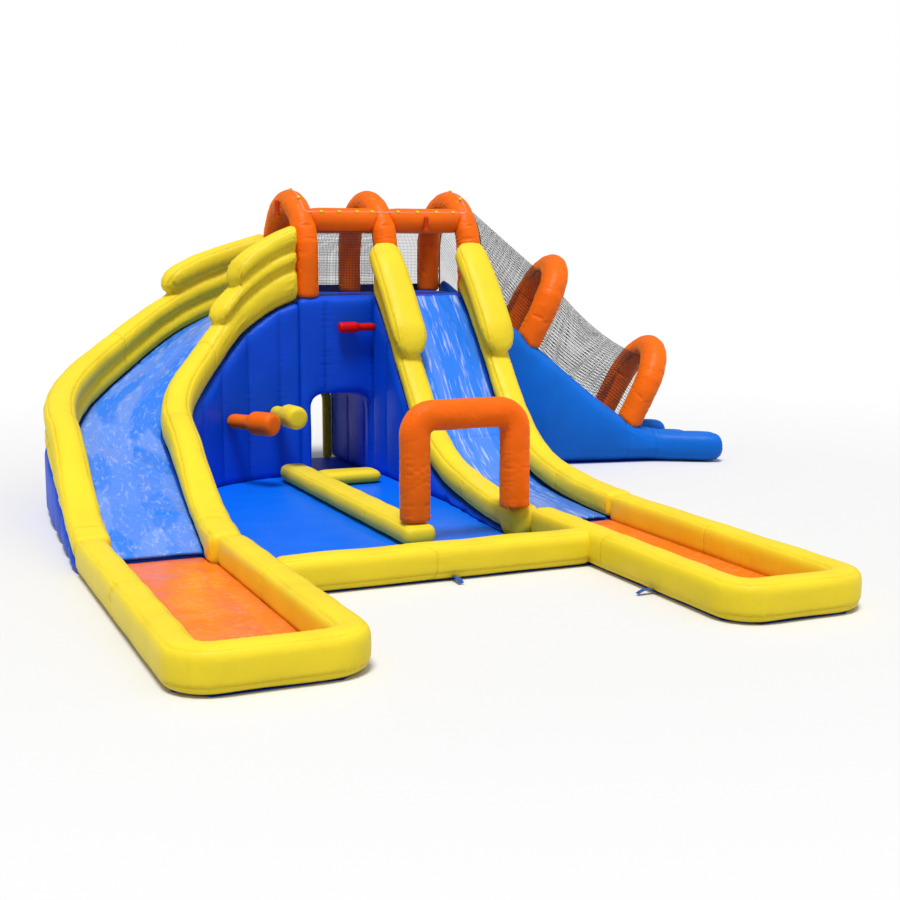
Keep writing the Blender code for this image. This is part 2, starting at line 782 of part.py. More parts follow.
def curved_slide():
    end = CURVED_LENGTH - SEAM_GAP
    nose = CURVED_LENGTH + RAIL_NOSE
    width = CURVED_WALL_WIDTH
    chamber("curved_slide_body", CURVED, 0, end, curved_body_top, width, BLUE)
    lane("curved_slide_lane", CURVED, 0, end, width, LANE_BLUE)
    rail_bottom = rail_below(curved_body_top, CURVED)
    rail_top = rail_above(curved_body_top, CURVED, CURVED_RAIL_HEIGHT)
    drop = (CURVED_LENGTH, CURVED_LENGTH + 0.012)
    wall(
        "curved_inner_rail", CURVED, 0, nose, 0, width, rail_bottom, rail_top, YELLOW, marks=drop,
        dome_end=CURVED_RAIL_DOME,
    )
    bottom, step_top = stacked(rail_top, CURVED_STEP_HEIGHT)
    wall(
        "curved_inner_step", CURVED, 0, CURVED_STEP_END, 0, width, bottom, step_top, YELLOW,
        dome_end=CURVED_STEP_DOME,
    )
    bottom, top = stacked(step_top, CURVED_CHEEK_HEIGHT)
    wall(
        "curved_inner_cheek", CURVED, 0, INNER_CHEEK_END, 0, width, bottom, top, YELLOW,
        dome_end=INNER_CHEEK_DOME,
    )

    lower_end = CURVED_LENGTH - OUTER_LOWER_REACH

    def lower_top(distance):
        taper = fade(distance, lower_end - OUTER_LOWER_TAPER, lower_end)
        return rail_bottom(distance) + 4 * SEAM_GAP + OUTER_LOWER_HEIGHT * (1 - taper)

    outer_top = rail_above(curved_body_top, CURVED, OUTER_WALL_HEIGHT)
    wall("curved_outer_lower", CURVED, 0, lower_end, 1, width, rail_bottom, lower_top, YELLOW)
    wall(
        "curved_outer_wall", CURVED, 0, end, 1, width, lambda distance: lower_top(distance) + SEAT,
        outer_top, YELLOW,
    )
    bottom, top = stacked(outer_top, OUTER_CHEEK_HEIGHT)
    wall(
        "curved_outer_cheek", CURVED, 0, OUTER_CHEEK_END, 1, width, bottom, top, YELLOW,
        dome_end=OUTER_CHEEK_DOME,
    )


def straight_slide():
    end = STRAIGHT_LENGTH - 2 * SEAM_GAP
    width = STRAIGHT_WALL_WIDTH
    over = STRAIGHT_CHEEK_OVERHANG
    chamber("straight_slide_body", STRAIGHT, 0, end, straight_body_top, width, BLUE)
    lane("straight_slide_lane", STRAIGHT, 0, end, width, LANE_BLUE)
    rail_bottom = rail_below(straight_body_top, STRAIGHT)
    rail_top = rail_above(straight_body_top, STRAIGHT, STRAIGHT_RAIL_HEIGHT)
    bottom, top = stacked(rail_top, STRAIGHT_CHEEK_HEIGHT)
    for side, name in enumerate(("left", "right")):
        stop = STRAIGHT_LENGTH + RAIL_NOSE if name == "left" else end
        domes = {}
        if name == "left":
            domes = {"marks": (STRAIGHT_LENGTH, STRAIGHT_LENGTH + 0.012), "dome_end": STRAIGHT_RAIL_DOME}
        wall("straight_rail_" + name, STRAIGHT, 0, stop, side, width, rail_bottom, rail_top, YELLOW, **domes)
        wall(
            "straight_cheek_" + name, STRAIGHT, 0, STRAIGHT_CHEEK_END, side, width + 2 * over, bottom, top,
            YELLOW,
            inset=-over, dome_end=STRAIGHT_CHEEK_DOME,
        )


def tower():
    top = DECK_TOP - DECK_THICKNESS - SEAM_GAP
    body = block("tower_body", (TOWER_LEFT, TOWER_FRONT, BASE), (TOWER_RIGHT, TOWER_BACK, top), BLUE, 0.035)
    tunnel_right = TUNNEL_LEFT + TUNNEL_WIDTH
    back = TOWER_BACK - SKIN
    front = TOWER_FRONT + SKIN
    cavity = block(
        "tower_cavity", (tunnel_right + SKIN, front, -0.1), (TOWER_RIGHT - SKIN, back, top - SKIN), None
    )
    attic = block(
        "tunnel_attic",
        (TOWER_LEFT + SKIN, front + SEAM_GAP, TUNNEL_HEIGHT + SKIN),
        (tunnel_right + SKIN + TUNNEL_CORNER, back - SEAM_GAP, top - SKIN - SEAM_GAP),
        None,
    )
    bore = block(
        "tunnel_bore",
        (TUNNEL_LEFT, TOWER_FRONT - 0.1, -TUNNEL_HEIGHT),
        (tunnel_right, TOWER_BACK + 0.1, TUNNEL_HEIGHT),
        None,
        TUNNEL_CORNER,
    )
    port = block(
        "air_port",
        (BLOWER_X - BLOWER_HALF_WIDTH, TOWER_BACK - 0.1, BLOWER_AXIS_HEIGHT - VOLUTE_START - VOLUTE_GROWTH),
        (BLOWER_X + BLOWER_HALF_WIDTH, TOWER_BACK + 0.1,
         BLOWER_AXIS_HEIGHT - VOLUTE_START - VOLUTE_GROWTH + DUCT_HEIGHT),
        None,
    )
    for cutter in (cavity, attic, bore, port):
        boolean(body, cutter)
    block(
        "tower_deck",
        (TOWER_LEFT, TOWER_FRONT, top + SEAM_GAP),
        (TOWER_RIGHT, TOWER_BACK, DECK_TOP),
        BLUE,
        0.012,
    )
    tunnel_rim(tunnel_right)
    baffle(tunnel_right, front, back, top)


def tunnel_rim(tunnel_right):
    """Tube that borders the tunnel, inside its mouth."""
    inset = TUNNEL_RIM_TUBE + SEAM_GAP
    left = TUNNEL_LEFT + inset
    right = tunnel_right - inset
    top = TUNNEL_HEIGHT - inset
    bend = TUNNEL_CORNER
    y = TOWER_BACK - TUNNEL_RIM_TUBE - 0.03
    points = [(left, y, BASE)]
    for i in range(5):
        angle = math.radians(180 - 22.5 * i)
        points.append((left + bend * (1 + math.cos(angle)), y, top - bend * (1 - math.sin(angle))))
    for i in range(5):
        angle = math.radians(90 - 22.5 * i)
        points.append((right - bend * (1 - math.cos(angle)), y, top - bend * (1 - math.sin(angle))))
    points.append((right, y, BASE))
    tube("tunnel_rim", points, TUNNEL_RIM_TUBE, YELLOW, sides=10)


def baffle(tunnel_right, front, back, top):
    """Web inside the tower that holds its walls apart, with holes that pass the air."""
    x = (tunnel_right + TOWER_RIGHT) / 2 + 0.12
    web = block(
        "tower_baffle",
        (x, front + SEAM_GAP, BASE),
        (x + NET_THICKNESS, back - SEAM_GAP, top - SKIN - SEAM_GAP),
        BLUE,
    )
    for i in range(3):
        height = top * (i + 0.5) / 3
        hole = cylinder(
            "baffle_hole_" + str(i),
            0.11,
            (x - 0.05, ARCH_MIDDLE_Y, height),
            (x + 0.05, ARCH_MIDDLE_Y, height),
            None,
        )
        boolean(web, hole)


def arch_points(x, foot):
    """Middle line of a tower arch, a loop from its front foot over to its back foot."""
    front = ARCH_MIDDLE_Y - ARCH_RADIUS
    back = ARCH_MIDDLE_Y + ARCH_RADIUS
    points = [(x, front, foot)]
    for i in range(15):
        angle = math.radians(180 - 180 * i / 14)
        y = ARCH_MIDDLE_Y + ARCH_RADIUS * math.cos(angle)
        points.append((x, y, ARCH_SPRING + ARCH_RADIUS * math.sin(angle)))
    points.append((x, back, foot))
    return points


def tower_arches():
    foot = DECK_TOP + SEAM_GAP
    seats = []
    for name, x in ARCH_POSITIONS.items():
        tube("tower_arch_" + name, arch_points(x, foot), ARCH_TUBE, ORANGE)
        seat = tube("arch_seat_" + name, arch_points(x, foot - 0.05), ARCH_TUBE + SEAM_GAP, None)
        seats.append(as_mesh(seat, None))
    bays = {"left": ("left", "middle", seats[:2]), "right": ("middle", "right", seats[1:])}
    for bay, (first, second, near) in bays.items():
        for face, side in (("front", -1), ("rear", 1)):
            y = ARCH_MIDDLE_Y + side * CROSSBAR_SET_IN
            start = (ARCH_POSITIONS[first], y, CROSSBAR_HEIGHT)
            end = (ARCH_POSITIONS[second], y, CROSSBAR_HEIGHT)
            bar = cylinder(face + "_crossbar_" + bay, CROSSBAR_TUBE, start, end, ORANGE, sides=16)
            for seat in near:
                boolean(bar, seat)
            if (face, bay) != ("front", "right"):
                tower_net(face + "_net_" + bay, ARCH_POSITIONS[first], ARCH_POSITIONS[second], side)


def tower_net(name, first, second, side):
    """Netting in the plane of the arches' legs, from the deck up to a crossbar."""
    half = NET_THICKNESS / 2
    left = first + ARCH_TUBE + SEAM_GAP
    right = second - ARCH_TUBE - SEAM_GAP
    bottom = DECK_TOP + SEAM_GAP
    top = CROSSBAR_HEIGHT - CROSSBAR_TUBE - SEAM_GAP
    rings = []
    for i in range(7):
        height = bottom + (top - bottom) * i / 6
        reach = math.sqrt(ARCH_RADIUS**2 - max(0, height - ARCH_SPRING) ** 2)
        y = ARCH_MIDDLE_Y + side * reach
        near, far = y - half, y + half
        corners = ((left, near), (right, near), (right, far), (left, far))
        rings.append([(x, y, height) for x, y in corners])
    loft(name, rings, NET)


def ramp_point(distance, across, height):
    x, y = RAMP_CORNER + RAMP_ALONG * distance + RAMP_ACROSS * across
    return Vector((x, y, height))


def climbing_ramp():
    tower_side = block(
        "tower_side", (TOWER_LEFT, TOWER_FRONT - 1, -1), (TOWER_RIGHT + SEAM_GAP, TOWER_BACK + 1, 3), None
    )
    width = RAMP_WALL_WIDTH
    inner = width + SEAM_GAP
    seats = []
    for side, name, reach in ((0, "near", RAMP_REACH), (1, "far", RAMP_FAR_REACH)):
        end = RAMP_SET_BACK + reach
        item = wall(
            "ramp_wall_" + name, RAMP, 0, end, side, width, lambda distance: BASE, RAMP.top, BLUE,
            dome_end=0.1,
        )
        boolean(item, tower_side)
        seat = wall(
            "ramp_seat_" + name, RAMP, 0, end, side, width + 2 * SEAM_GAP, lambda distance: BASE,
            lambda distance: RAMP.top(distance) + 2 * SEAM_GAP, None, inset=-SEAM_GAP, dome_end=0.1,
        )
        seats.append(seat)

    def deck_top(distance):
        return RAMP.top(distance) - RAMP_DECK_DROP

    deck_end = RAMP_SET_BACK + RAMP_DECK_END
    body = chamber("ramp_body", RAMP, 0, deck_end, deck_top, 0.1, BLUE, inset=inner)
    steps = ramp_steps(deck_top, inner, deck_end)
    for item in (body, steps):
        boolean(item, tower_side)
    wall(
        "ramp_landing", RAMP, deck_end + SEAM_GAP, RAMP_SET_BACK + RAMP_REACH - 0.06, 0,
        lambda distance: RAMP.width(distance) - 2 * inner, lambda distance: BASE,
        lambda distance: LANDING_HEIGHT, BLUE,
        inset=inner, dome_end=0.08,
    )
    for name, foot in RAMP_ARCH_FEET.items():
        arch = tube("ramp_arch_" + name, ramp_arch_line(foot, tail=0.12), RAMP_ARCH_TUBE, ORANGE)
        arch = as_mesh(arch, ORANGE)
        for seat in seats:
            boolean(arch, seat)
    ramp_net()


def ramp_steps(deck_top, inner, end):
    """Climbing surface between the side walls, with rungs to step on."""
    rings = []
    pitch = (end - RAMP_SET_BACK) / RAMP_RUNGS
    for distance, _ in RAMP.stations(0, end - 0.02):
        low = deck_top(distance) + SEAT
        high = low + RAMP_PAD
        right = RAMP.width(distance) - inner
        section = ((inner, low), (right, low), (right, high), (inner, high))
        rings.append([RAMP.point(distance, across, up) for across, up in section])
    item = loft("ramp_steps", rings, YELLOW)
    for i in range(RAMP_RUNGS):
        distance = RAMP_SET_BACK + pitch * (i + 0.5)
        height = deck_top(distance) + SEAT + RAMP_PAD
        start = RAMP.point(distance, inner + 0.02, height)
        stop = RAMP.point(distance, RAMP_WIDTH - inner - 0.02, height)
        boolean(item, cylinder("rung_" + str(i), RAMP_RUNG_RISE, start, stop, None, sides=12), "UNION")
    return item


def ramp_arch_line(foot, offset=0.0, tail=0.0):
    """Middle line of a ramp arch, which leans down the ramp. offset moves it in towards its own middle."""
    radius = RAMP_WIDTH / 2 - RAMP_ARCH_INSET
    lean = Vector((math.sin(RAMP_ARCH_LEAN), math.cos(RAMP_ARCH_LEAN)))
    base = Vector((foot, smooth_curve(RAMP_CREST, foot)))
    middle = RAMP_WIDTH / 2
    inner = radius - offset
    straight = RAMP_ARCH_REACH - radius
    low = base - lean * tail
    points = [ramp_point(low.x, middle - inner, low.y)]
    for i in range(13):
        angle = math.radians(180 - 15 * i)
        spot = base + lean * (straight + inner * math.sin(angle))
        points.append(ramp_point(spot.x, middle + inner * math.cos(angle), spot.y))
    points.append(ramp_point(low.x, middle + inner, low.y))
    return points


def ramp_net():
    """Canopy of netting from the tower's right arch, through both ramp arches."""
    inset = RAMP_ARCH_TUBE + 2 * SEAM_GAP
    tower_line = []
    front = ARCH_MIDDLE_Y - ARCH_RADIUS
    x = TOWER_RIGHT + 3 * SEAM_GAP
    for point in arch_points(x, DECK_TOP + 0.16):
        tower_line.append(Vector(point))
    upper = ramp_arch_line(RAMP_ARCH_FEET["upper"], inset, -0.08)
    lower = ramp_arch_line(RAMP_ARCH_FEET["lower"], inset, -0.08)
    lines = [resample(tower_line, 13), resample(upper, 13)]
    last = resample(lower, 13)
    for i in range(1, 5):
        share = i / 5
        sag = 0.10 * math.sin(math.pi * share)
        row = []
        for j, (a, b) in enumerate(zip(lines[1], last)):
            lift = math.sin(math.pi * j / 12)
            row.append(a.lerp(b, share) - Vector((0, 0, sag * lift)))
        lines.append(row)
    lines.append(last)
    form = bmesh.new()
    rows = [[form.verts.new(point) for point in line] for line in lines]
    for row, following in zip(rows, rows[1:]):
        for i in range(len(row) - 1):
            form.faces.new((row[i], row[i + 1], following[i + 1], following[i]))
    item = bmesh_object("ramp_net", form, NET)
    modifier = item.modifiers.new("net", "SOLIDIFY")
    modifier.thickness = NET_THICKNESS
    modifier.offset = 0
    return item


def resample(points, count):
    """Points at equal spacing along a line."""
    points = [Vector(point) for point in points]
    lengths = [0.0]
    for a, b in zip(points, points[1:]):
        lengths.append(lengths[-1] + (b - a).length)
    out = []
    for i in range(count):
        target = lengths[-1] * i / (count - 1)
        k = max(j for j in range(len(lengths)) if lengths[j] <= target + 1e-9)
        if k == len(points) - 1:
            out.append(points[-1])
        else:
            out.append(points[k].lerp(points[k + 1], (target - lengths[k]) / (lengths[k + 1] - lengths[k])))
    return out


def peg(name, wall_point, direction, sizes, finish):
    """Soft peg on a wall. Its round root lets it sway about its own origin."""
    neck, head, neck_length, head_length = sizes
    direction = Vector(direction).normalized()
    root = Vector(wall_point) + direction * (neck + PEG_CLEARANCE)
    end = neck_length + head_length
    profile = [(0, end)]
    for i in range(1, 5):
        angle = math.radians(90 - 22.5 * i)
        profile.append((head * 0.5 + head * 0.5 * math.cos(angle), end - head * 0.5 * (1 - math.sin(angle))))
    profile.append((head, neck_length + 0.35 * head))
    profile.append((head * 0.9, neck_length + 0.12 * head))
    profile.append((neck, neck_length - 0.15 * head))
    for i in range(5):
        angle = math.radians(-18 * i)
        profile.append((neck * math.cos(angle), neck * math.sin(angle)))
    profile.append((0, -neck))
    turn = direction.to_track_quat("Z", "Y").to_matrix().to_4x4()
    turned(name, profile, finish, Matrix.Translation(root) @ turn, steps=16)


def pegs():
    def on_curved_wall(degrees, height):
        angle = math.radians(degrees)
        outward = Vector((-math.cos(angle), math.sin(angle), 0))
        return Vector((CURVE_X, CURVE_DEPTH, height)) + outward * CURVE_INNER_RADIUS, -outward

    spot, inward = on_curved_wall(57.7, 0.57)
    peg("orange_peg", spot, inward, BIG_PEG, ORANGE)
    spot, inward = on_curved_wall(83.3, 0.60)
    peg("yellow_peg", spot, inward, BIG_PEG, YELLOW)
    peg("red_peg", (STRAIGHT_LEFT, TOWER_FRONT - 0.07, 1.30), (-1, 0, 0), SMALL_PEG, RED)


def water_line():
    """Hose along the front crossbar, with a nozzle over each slide."""
    outward = Vector((-CROSSBAR_SET_IN, CROSSBAR_HEIGHT - ARCH_SPRING)).normalized()
    lift = ARCH_RADIUS + ARCH_TUBE + HOSE_RADIUS + 2 * SEAM_GAP
    y = ARCH_MIDDLE_Y + outward.x * lift
    z = ARCH_SPRING + outward.y * lift
    left = ARCH_POSITIONS["left"]
    right = ARCH_POSITIONS["right"]

    def over_arch(x, degrees):
        angle = math.radians(degrees)
        return (x, ARCH_MIDDLE_Y - lift * math.cos(angle), ARCH_SPRING + lift * math.sin(angle))

    bend = math.degrees(math.atan2(outward.y, -outward.x))
    points = [over_arch(left, angle) for angle in (98, 88, 78, 68, 58, 50, bend)]
    points += [(left + (right - left) * i / 8, y, z) for i in range(1, 8)]
    points += [over_arch(right, angle) for angle in (bend, 50, 60, 70, 80, 90, 100, 110, 120, 130, 140)]
    tube("sprinkler_hose", points, HOSE_RADIUS, HOSE, sides=8)
    beside = left - ARCH_TUBE - NOZZLE_RADIUS - SEAM_GAP
    nozzle("left_nozzle", Vector((beside, ARCH_MIDDLE_Y - 0.06, ARCH_TOP - 0.13)))
    front = ARCH_MIDDLE_Y - CROSSBAR_SET_IN - CROSSBAR_TUBE - NOZZLE_RADIUS - SEAM_GAP
    nozzle("right_nozzle", Vector((3.53, front, CROSSBAR_HEIGHT - 0.01)))


def nozzle(name, top):
    """Pouch with a spray head, hung beside a tube."""
    radius = NOZZLE_RADIUS
    profile = [(0, 0.045), (radius * 0.7, 0.045), (radius, 0.03), (radius, -0.05), (radius * 1.25, -0.075)]
    profile += [(radius * 1.25, -0.085), (0, -0.085)]
    turned(name, profile, ORANGE, Matrix.Translation(top), steps=14)


# Blower: local plan of its housing is drawn in the y-z plane about the impeller's axis


def volute(inset, duct_end):
    """Outline of the blower's snail housing, its duct pointing at the tower, as (y, z) about the axis."""
    points = []
    lowest = -(VOLUTE_START + VOLUTE_GROWTH) + inset
    for i in range(19):
        turn = i / 18
        angle = math.radians(-90 + 290 * turn)
        radius = VOLUTE_START + VOLUTE_GROWTH * (1 - turn) - inset
        points.append((radius * math.cos(angle), radius * math.sin(angle)))
    duct_top = lowest - inset + DUCT_HEIGHT - inset
    points.append((-duct_end, duct_top))
    points.append((-duct_end, lowest))
    return points


def across_slab(name, outline, left, right, finish):
    """A slab whose outline lies in the y-z plane, between two x positions."""
    centre = Vector((0, BLOWER_Y, BLOWER_AXIS_HEIGHT))
    form = bmesh.new()
    near = [form.verts.new((left, centre.y + y, centre.z + z)) for y, z in outline]
    face = form.faces.new(near)
    out = bmesh.ops.extrude_face_region(form, geom=[face])
    moved = [item for item in out["geom"] if isinstance(item, bmesh.types.BMVert)]
    bmesh.ops.translate(form, vec=(right - left, 0, 0), verts=moved)
    return bmesh_object(name, form, finish)


def blower():
    axis_y = BLOWER_Y
    axis_z = BLOWER_AXIS_HEIGHT
    half = BLOWER_HALF_WIDTH
    wall_in = half - BLOWER_WALL
    for side, name in ((-1, "left"), (1, "right")):
        inner = BLOWER_X + side * SEAM_GAP / 4
        outer = BLOWER_X + side * half
        low, high = min(inner, outer), max(inner, outer)
        shell = across_slab("blower_housing_" + name, volute(0, DUCT_REACH), low, high, BLOWER_SHELL)
        low, high = sorted((BLOWER_X - side * 0.01, BLOWER_X + side * wall_in))
        outline = volute(BLOWER_WALL, DUCT_REACH + 0.05)
        cavity = across_slab("blower_cavity_" + name, outline, low, high, None)
        boolean(shell, cavity)
        if side < 0:
            opening = [(SHAFT_RADIUS * 2, "shaft_hole", 0, 0)]
        else:
            ring = INTAKE_RADIUS * 0.62
            opening = [(INTAKE_RADIUS * 0.27, "intake_0", 0, 0)]
            for i in range(6):
                angle = math.radians(60 * i)
                label = "intake_" + str(i + 1)
                opening.append((INTAKE_RADIUS * 0.27, label, ring * math.cos(angle), ring * math.sin(angle)))
        for radius, label, dy, dz in opening:
            start = (BLOWER_X + side * 0.02, axis_y + dy, axis_z + dz)
            end = (BLOWER_X + side * 0.2, axis_y + dy, axis_z + dz)
            boolean(shell, cylinder(label, radius, start, end, None, sides=16))
    impeller()
    motor()
    stand()
    inlet_sleeve()


def impeller():
    centre = Vector((BLOWER_X, BLOWER_Y, BLOWER_AXIS_HEIGHT))
    half = IMPELLER_LENGTH / 2
    item = turned(
        "blower_impeller",
        [
            (0, half * 0.2),
            (0.016, half * 0.2),
            (0.016, 0.006 - half),
            (IMPELLER_RADIUS, 0.006 - half),
            (IMPELLER_RADIUS, -half),
            (SHAFT_RADIUS, -half),
            (SHAFT_RADIUS, -half - 0.06),
            (0, -half - 0.06),
        ],
        BLOWER_METAL,
        Matrix.Translation(centre) @ Matrix.Rotation(math.pi / 2, 4, "Y"),
        steps=18,
    )
    form = bmesh.new()
    for i in range(IMPELLER_BLADES):
        angle = 2 * math.pi * i / IMPELLER_BLADES
        made = bmesh.ops.create_cube(form, size=1)["verts"]
        bmesh.ops.scale(form, vec=(0.016, 0.003, IMPELLER_LENGTH - 0.003), verts=made)
        bmesh.ops.rotate(form, matrix=Matrix.Rotation(math.radians(35), 3, "Z"), verts=made)
        bmesh.ops.translate(form, vec=(IMPELLER_RADIUS - 0.009, 0, 0.0005), verts=made)
        bmesh.ops.rotate(form, matrix=Matrix.Rotation(angle, 3, "Z"), verts=made)
    matrix = Matrix.Translation(centre) @ Matrix.Rotation(math.pi / 2, 4, "Y")
    blades = bmesh_object("impeller_blades", form, None, matrix)
    boolean(item, blades, "UNION")
    ring = turned(
        "impeller_ring",
        [(IMPELLER_RADIUS, half), (IMPELLER_RADIUS, half - 0.006), (IMPELLER_RADIUS - 0.016, half - 0.006),
         (IMPELLER_RADIUS - 0.016, half), (IMPELLER_RADIUS, half)],
        None,
        matrix,
        steps=18,
    )
    boolean(item, ring, "UNION")


def motor():
    left = BLOWER_X - BLOWER_HALF_WIDTH - SEAM_GAP
    bore = SHAFT_RADIUS + SHAFT_CLEARANCE
    profile = [
        (0, 0),
        (MOTOR_RADIUS * 0.75, 0),
        (MOTOR_RADIUS * 0.95, -0.008),
        (MOTOR_RADIUS, -0.02),
        (MOTOR_RADIUS, -MOTOR_LENGTH + 0.012),
        (MOTOR_RADIUS + 0.012, -MOTOR_LENGTH + 0.012),
        (MOTOR_RADIUS + 0.012, -MOTOR_LENGTH),
        (bore, -MOTOR_LENGTH),
        (bore, -MOTOR_LENGTH + 0.05),
        (0, -MOTOR_LENGTH + 0.05),
    ]
    foot = Matrix.Translation((left - MOTOR_LENGTH, BLOWER_Y, BLOWER_AXIS_HEIGHT))
    item = turned("blower_motor", profile, BLOWER_METAL, foot @ Matrix.Rotation(-math.pi / 2, 4, "Y"))
    middle = left - MOTOR_LENGTH / 2
    top = BLOWER_AXIS_HEIGHT + MOTOR_RADIUS + 0.022
    rocker_x, rocker_y, rocker_z = ROCKER_SIZE
    box = block(
        "switch_box",
        (middle - 0.024, BLOWER_Y - 0.03, BLOWER_AXIS_HEIGHT + MOTOR_RADIUS - 0.012),
        (middle + 0.024, BLOWER_Y + 0.03, top),
        None,
    )
    boolean(item, box, "UNION")
    recess = block(
        "switch_recess",
        (middle - rocker_x / 2 - 0.002, BLOWER_Y - rocker_y / 2 - 0.003, top - 0.012),
        (middle + rocker_x / 2 + 0.002, BLOWER_Y + rocker_y / 2 + 0.003, top + 0.01),
        None,
    )
    boolean(item, recess)
    rocker(middle, top)


def rocker(middle, top):
    """On-off switch that rocks about a cross axis through its origin. Its top is a shallow V."""
    width, length, depth = ROCKER_SIZE
    half = length / 2
    outline = ((-half, 0.002), (-half, 0.0045), (0, 0.0015), (half, 0.0045), (half, 0.002), (0, -depth / 2))
    form = bmesh.new()
    near = [form.verts.new((-width / 2, y, z)) for y, z in outline]
    face = form.faces.new(near)
    out = bmesh.ops.extrude_face_region(form, geom=[face])
    moved = [item for item in out["geom"] if isinstance(item, bmesh.types.BMVert)]
    bmesh.ops.translate(form, vec=(width, 0, 0), verts=moved)
    bmesh_object("blower_switch", form, RED, Matrix.Translation((middle, BLOWER_Y, top)))


def stand():
    """Wire cradle under the housing, and the carrying handle over it."""
    bottom = BLOWER_AXIS_HEIGHT - VOLUTE_START - VOLUTE_GROWTH - SEAM_GAP
    reach = BLOWER_HALF_WIDTH + 0.02
    block(
        "blower_stand",
        (BLOWER_X - reach, BLOWER_Y - 0.14, 0.0),
        (BLOWER_X + reach, BLOWER_Y + 0.12, bottom),
        BLOWER_SHELL,
        0.006,
    )
    top = BLOWER_AXIS_HEIGHT + VOLUTE_START + VOLUTE_GROWTH * 0.45
    points = []
    for i in range(9):
        angle = math.radians(180 - 22.5 * i)
        points.append((BLOWER_X, BLOWER_Y + 0.055 * math.cos(angle), top + 0.012 + 0.045 * math.sin(angle)))
    tube("blower_handle", points, 0.009, BLOWER_SHELL, sides=8)


def inlet_sleeve():
    """Fabric sleeve from the tower's air port, drawn over the blower's duct."""
    bottom = BLOWER_AXIS_HEIGHT - VOLUTE_START - VOLUTE_GROWTH
    centre = bottom + DUCT_HEIGHT / 2
    duct_end = BLOWER_Y - DUCT_REACH
    form = bmesh.new()
    rows = []
    for y, slack in (
        (TOWER_BACK + SEAM_GAP, 0.008),
        (TOWER_BACK + 0.06, 0.02),
        (TOWER_BACK + 0.14, 0.028),
        (duct_end - 0.03, 0.018),
        (duct_end + 0.01, 0.009),
        (duct_end + 0.05, 0.008),
    ):
        reach = BLOWER_HALF_WIDTH + slack
        rise = DUCT_HEIGHT / 2 + slack
        section = rounded_box(-reach, reach, -rise, rise, 0.006 + slack, steps=2)
        points = [(BLOWER_X + across, y, max(centre + up, BASE + 0.006)) for across, up in section]
        rows.append([form.verts.new(point) for point in points])
    for row, following in zip(rows, rows[1:]):
        for i in range(len(row)):
            j = (i + 1) % len(row)
            form.faces.new((row[i], row[j], following[j], following[i]))
    item = bmesh_object("inlet_sleeve", form, BLUE)
    modifier = item.modifiers.new("fabric", "SOLIDIFY")
    modifier.thickness = 0.003
    modifier.offset = 1


def ground_sheet():
    """The tough sheet under the whole park."""
    inset = 0.05
    right = RIGHT_POOL_RIGHT - inset
    court_left = LEFT_POOL_WIDTH - inset
    court_right = RIGHT_POOL_LEFT + inset
    near = RAMP_CORNER + RAMP_ALONG * (RAMP_REACH - 3 * inset) + RAMP_ACROSS * inset
    far = RAMP_CORNER + RAMP_ALONG * (RAMP_FAR_REACH - 3 * inset) + RAMP_ACROSS * (RAMP_WIDTH - inset)
    ramp_back = RAMP_CORNER + RAMP_ACROSS * (RAMP_WIDTH - inset)
    outline = [
        (inset, 4 * inset),
        (4 * inset, inset),
        (court_left - 3 * inset, inset),
        (court_left, 4 * inset),
        (court_left, POOL_REACH + inset),
        (court_right, POOL_REACH + inset),
        (court_right, 4 * inset),
        (court_right + 3 * inset, inset),
        (right - 3 * inset, inset),
        (right, 4 * inset),
        (right, TOWER_FRONT),
        (RAMP_CORNER.x, TOWER_FRONT + inset),
        tuple(near),
        tuple(far),
        (TOWER_RIGHT + inset, ramp_back.y),
        (TOWER_RIGHT - inset, TOWER_BACK - inset),
    ]
    for i in range(13):
        angle = math.radians(90 + 7.5 * i)
        x = CURVE_X + (CURVE_OUTER_REACH - inset) * math.cos(angle)
        outline.append((x, CURVE_DEPTH + (CURVE_OUTER_RADIUS - inset) * math.sin(angle)))
    slab("ground_sheet", outline, 0, GROUND_SHEET, BLUE)


def centre_site():
    """Moves the site so that the middle of the park's box stands over the origin."""
    bpy.context.view_layer.update()
    graph = bpy.context.evaluated_depsgraph_get()
    low = [math.inf, math.inf]
    high = [-math.inf, -math.inf]
    for item in PARK.objects:
        if item.type == "EMPTY":
            continue
        shape = item.evaluated_get(graph)
        mesh = shape.to_mesh()
        for vertex in mesh.vertices:
            point = shape.matrix_world @ vertex.co
            for i in range(2):
                low[i] = min(low[i], point[i])
                high[i] = max(high[i], point[i])
        shape.to_mesh_clear()
    for i in range(2):
        SITE.location[i] -= (low[i] + high[i]) / 2


def main():
    ground_sheet()
    splash_pool("left", 0, LEFT_POOL_WIDTH)
    splash_pool("right", RIGHT_POOL_LEFT, RIGHT_POOL_RIGHT)
    front_bumper()
    court_floor()
    court_beams()
    gate()
    curved_slide()
    straight_slide()
    tower()
    tower_arches()
    climbing_ramp()
    pegs()
    water_line()
    blower()
    centre_site()


main()
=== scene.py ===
"""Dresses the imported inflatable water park: inflated coated fabric, netting, hose, webbing and blower."""

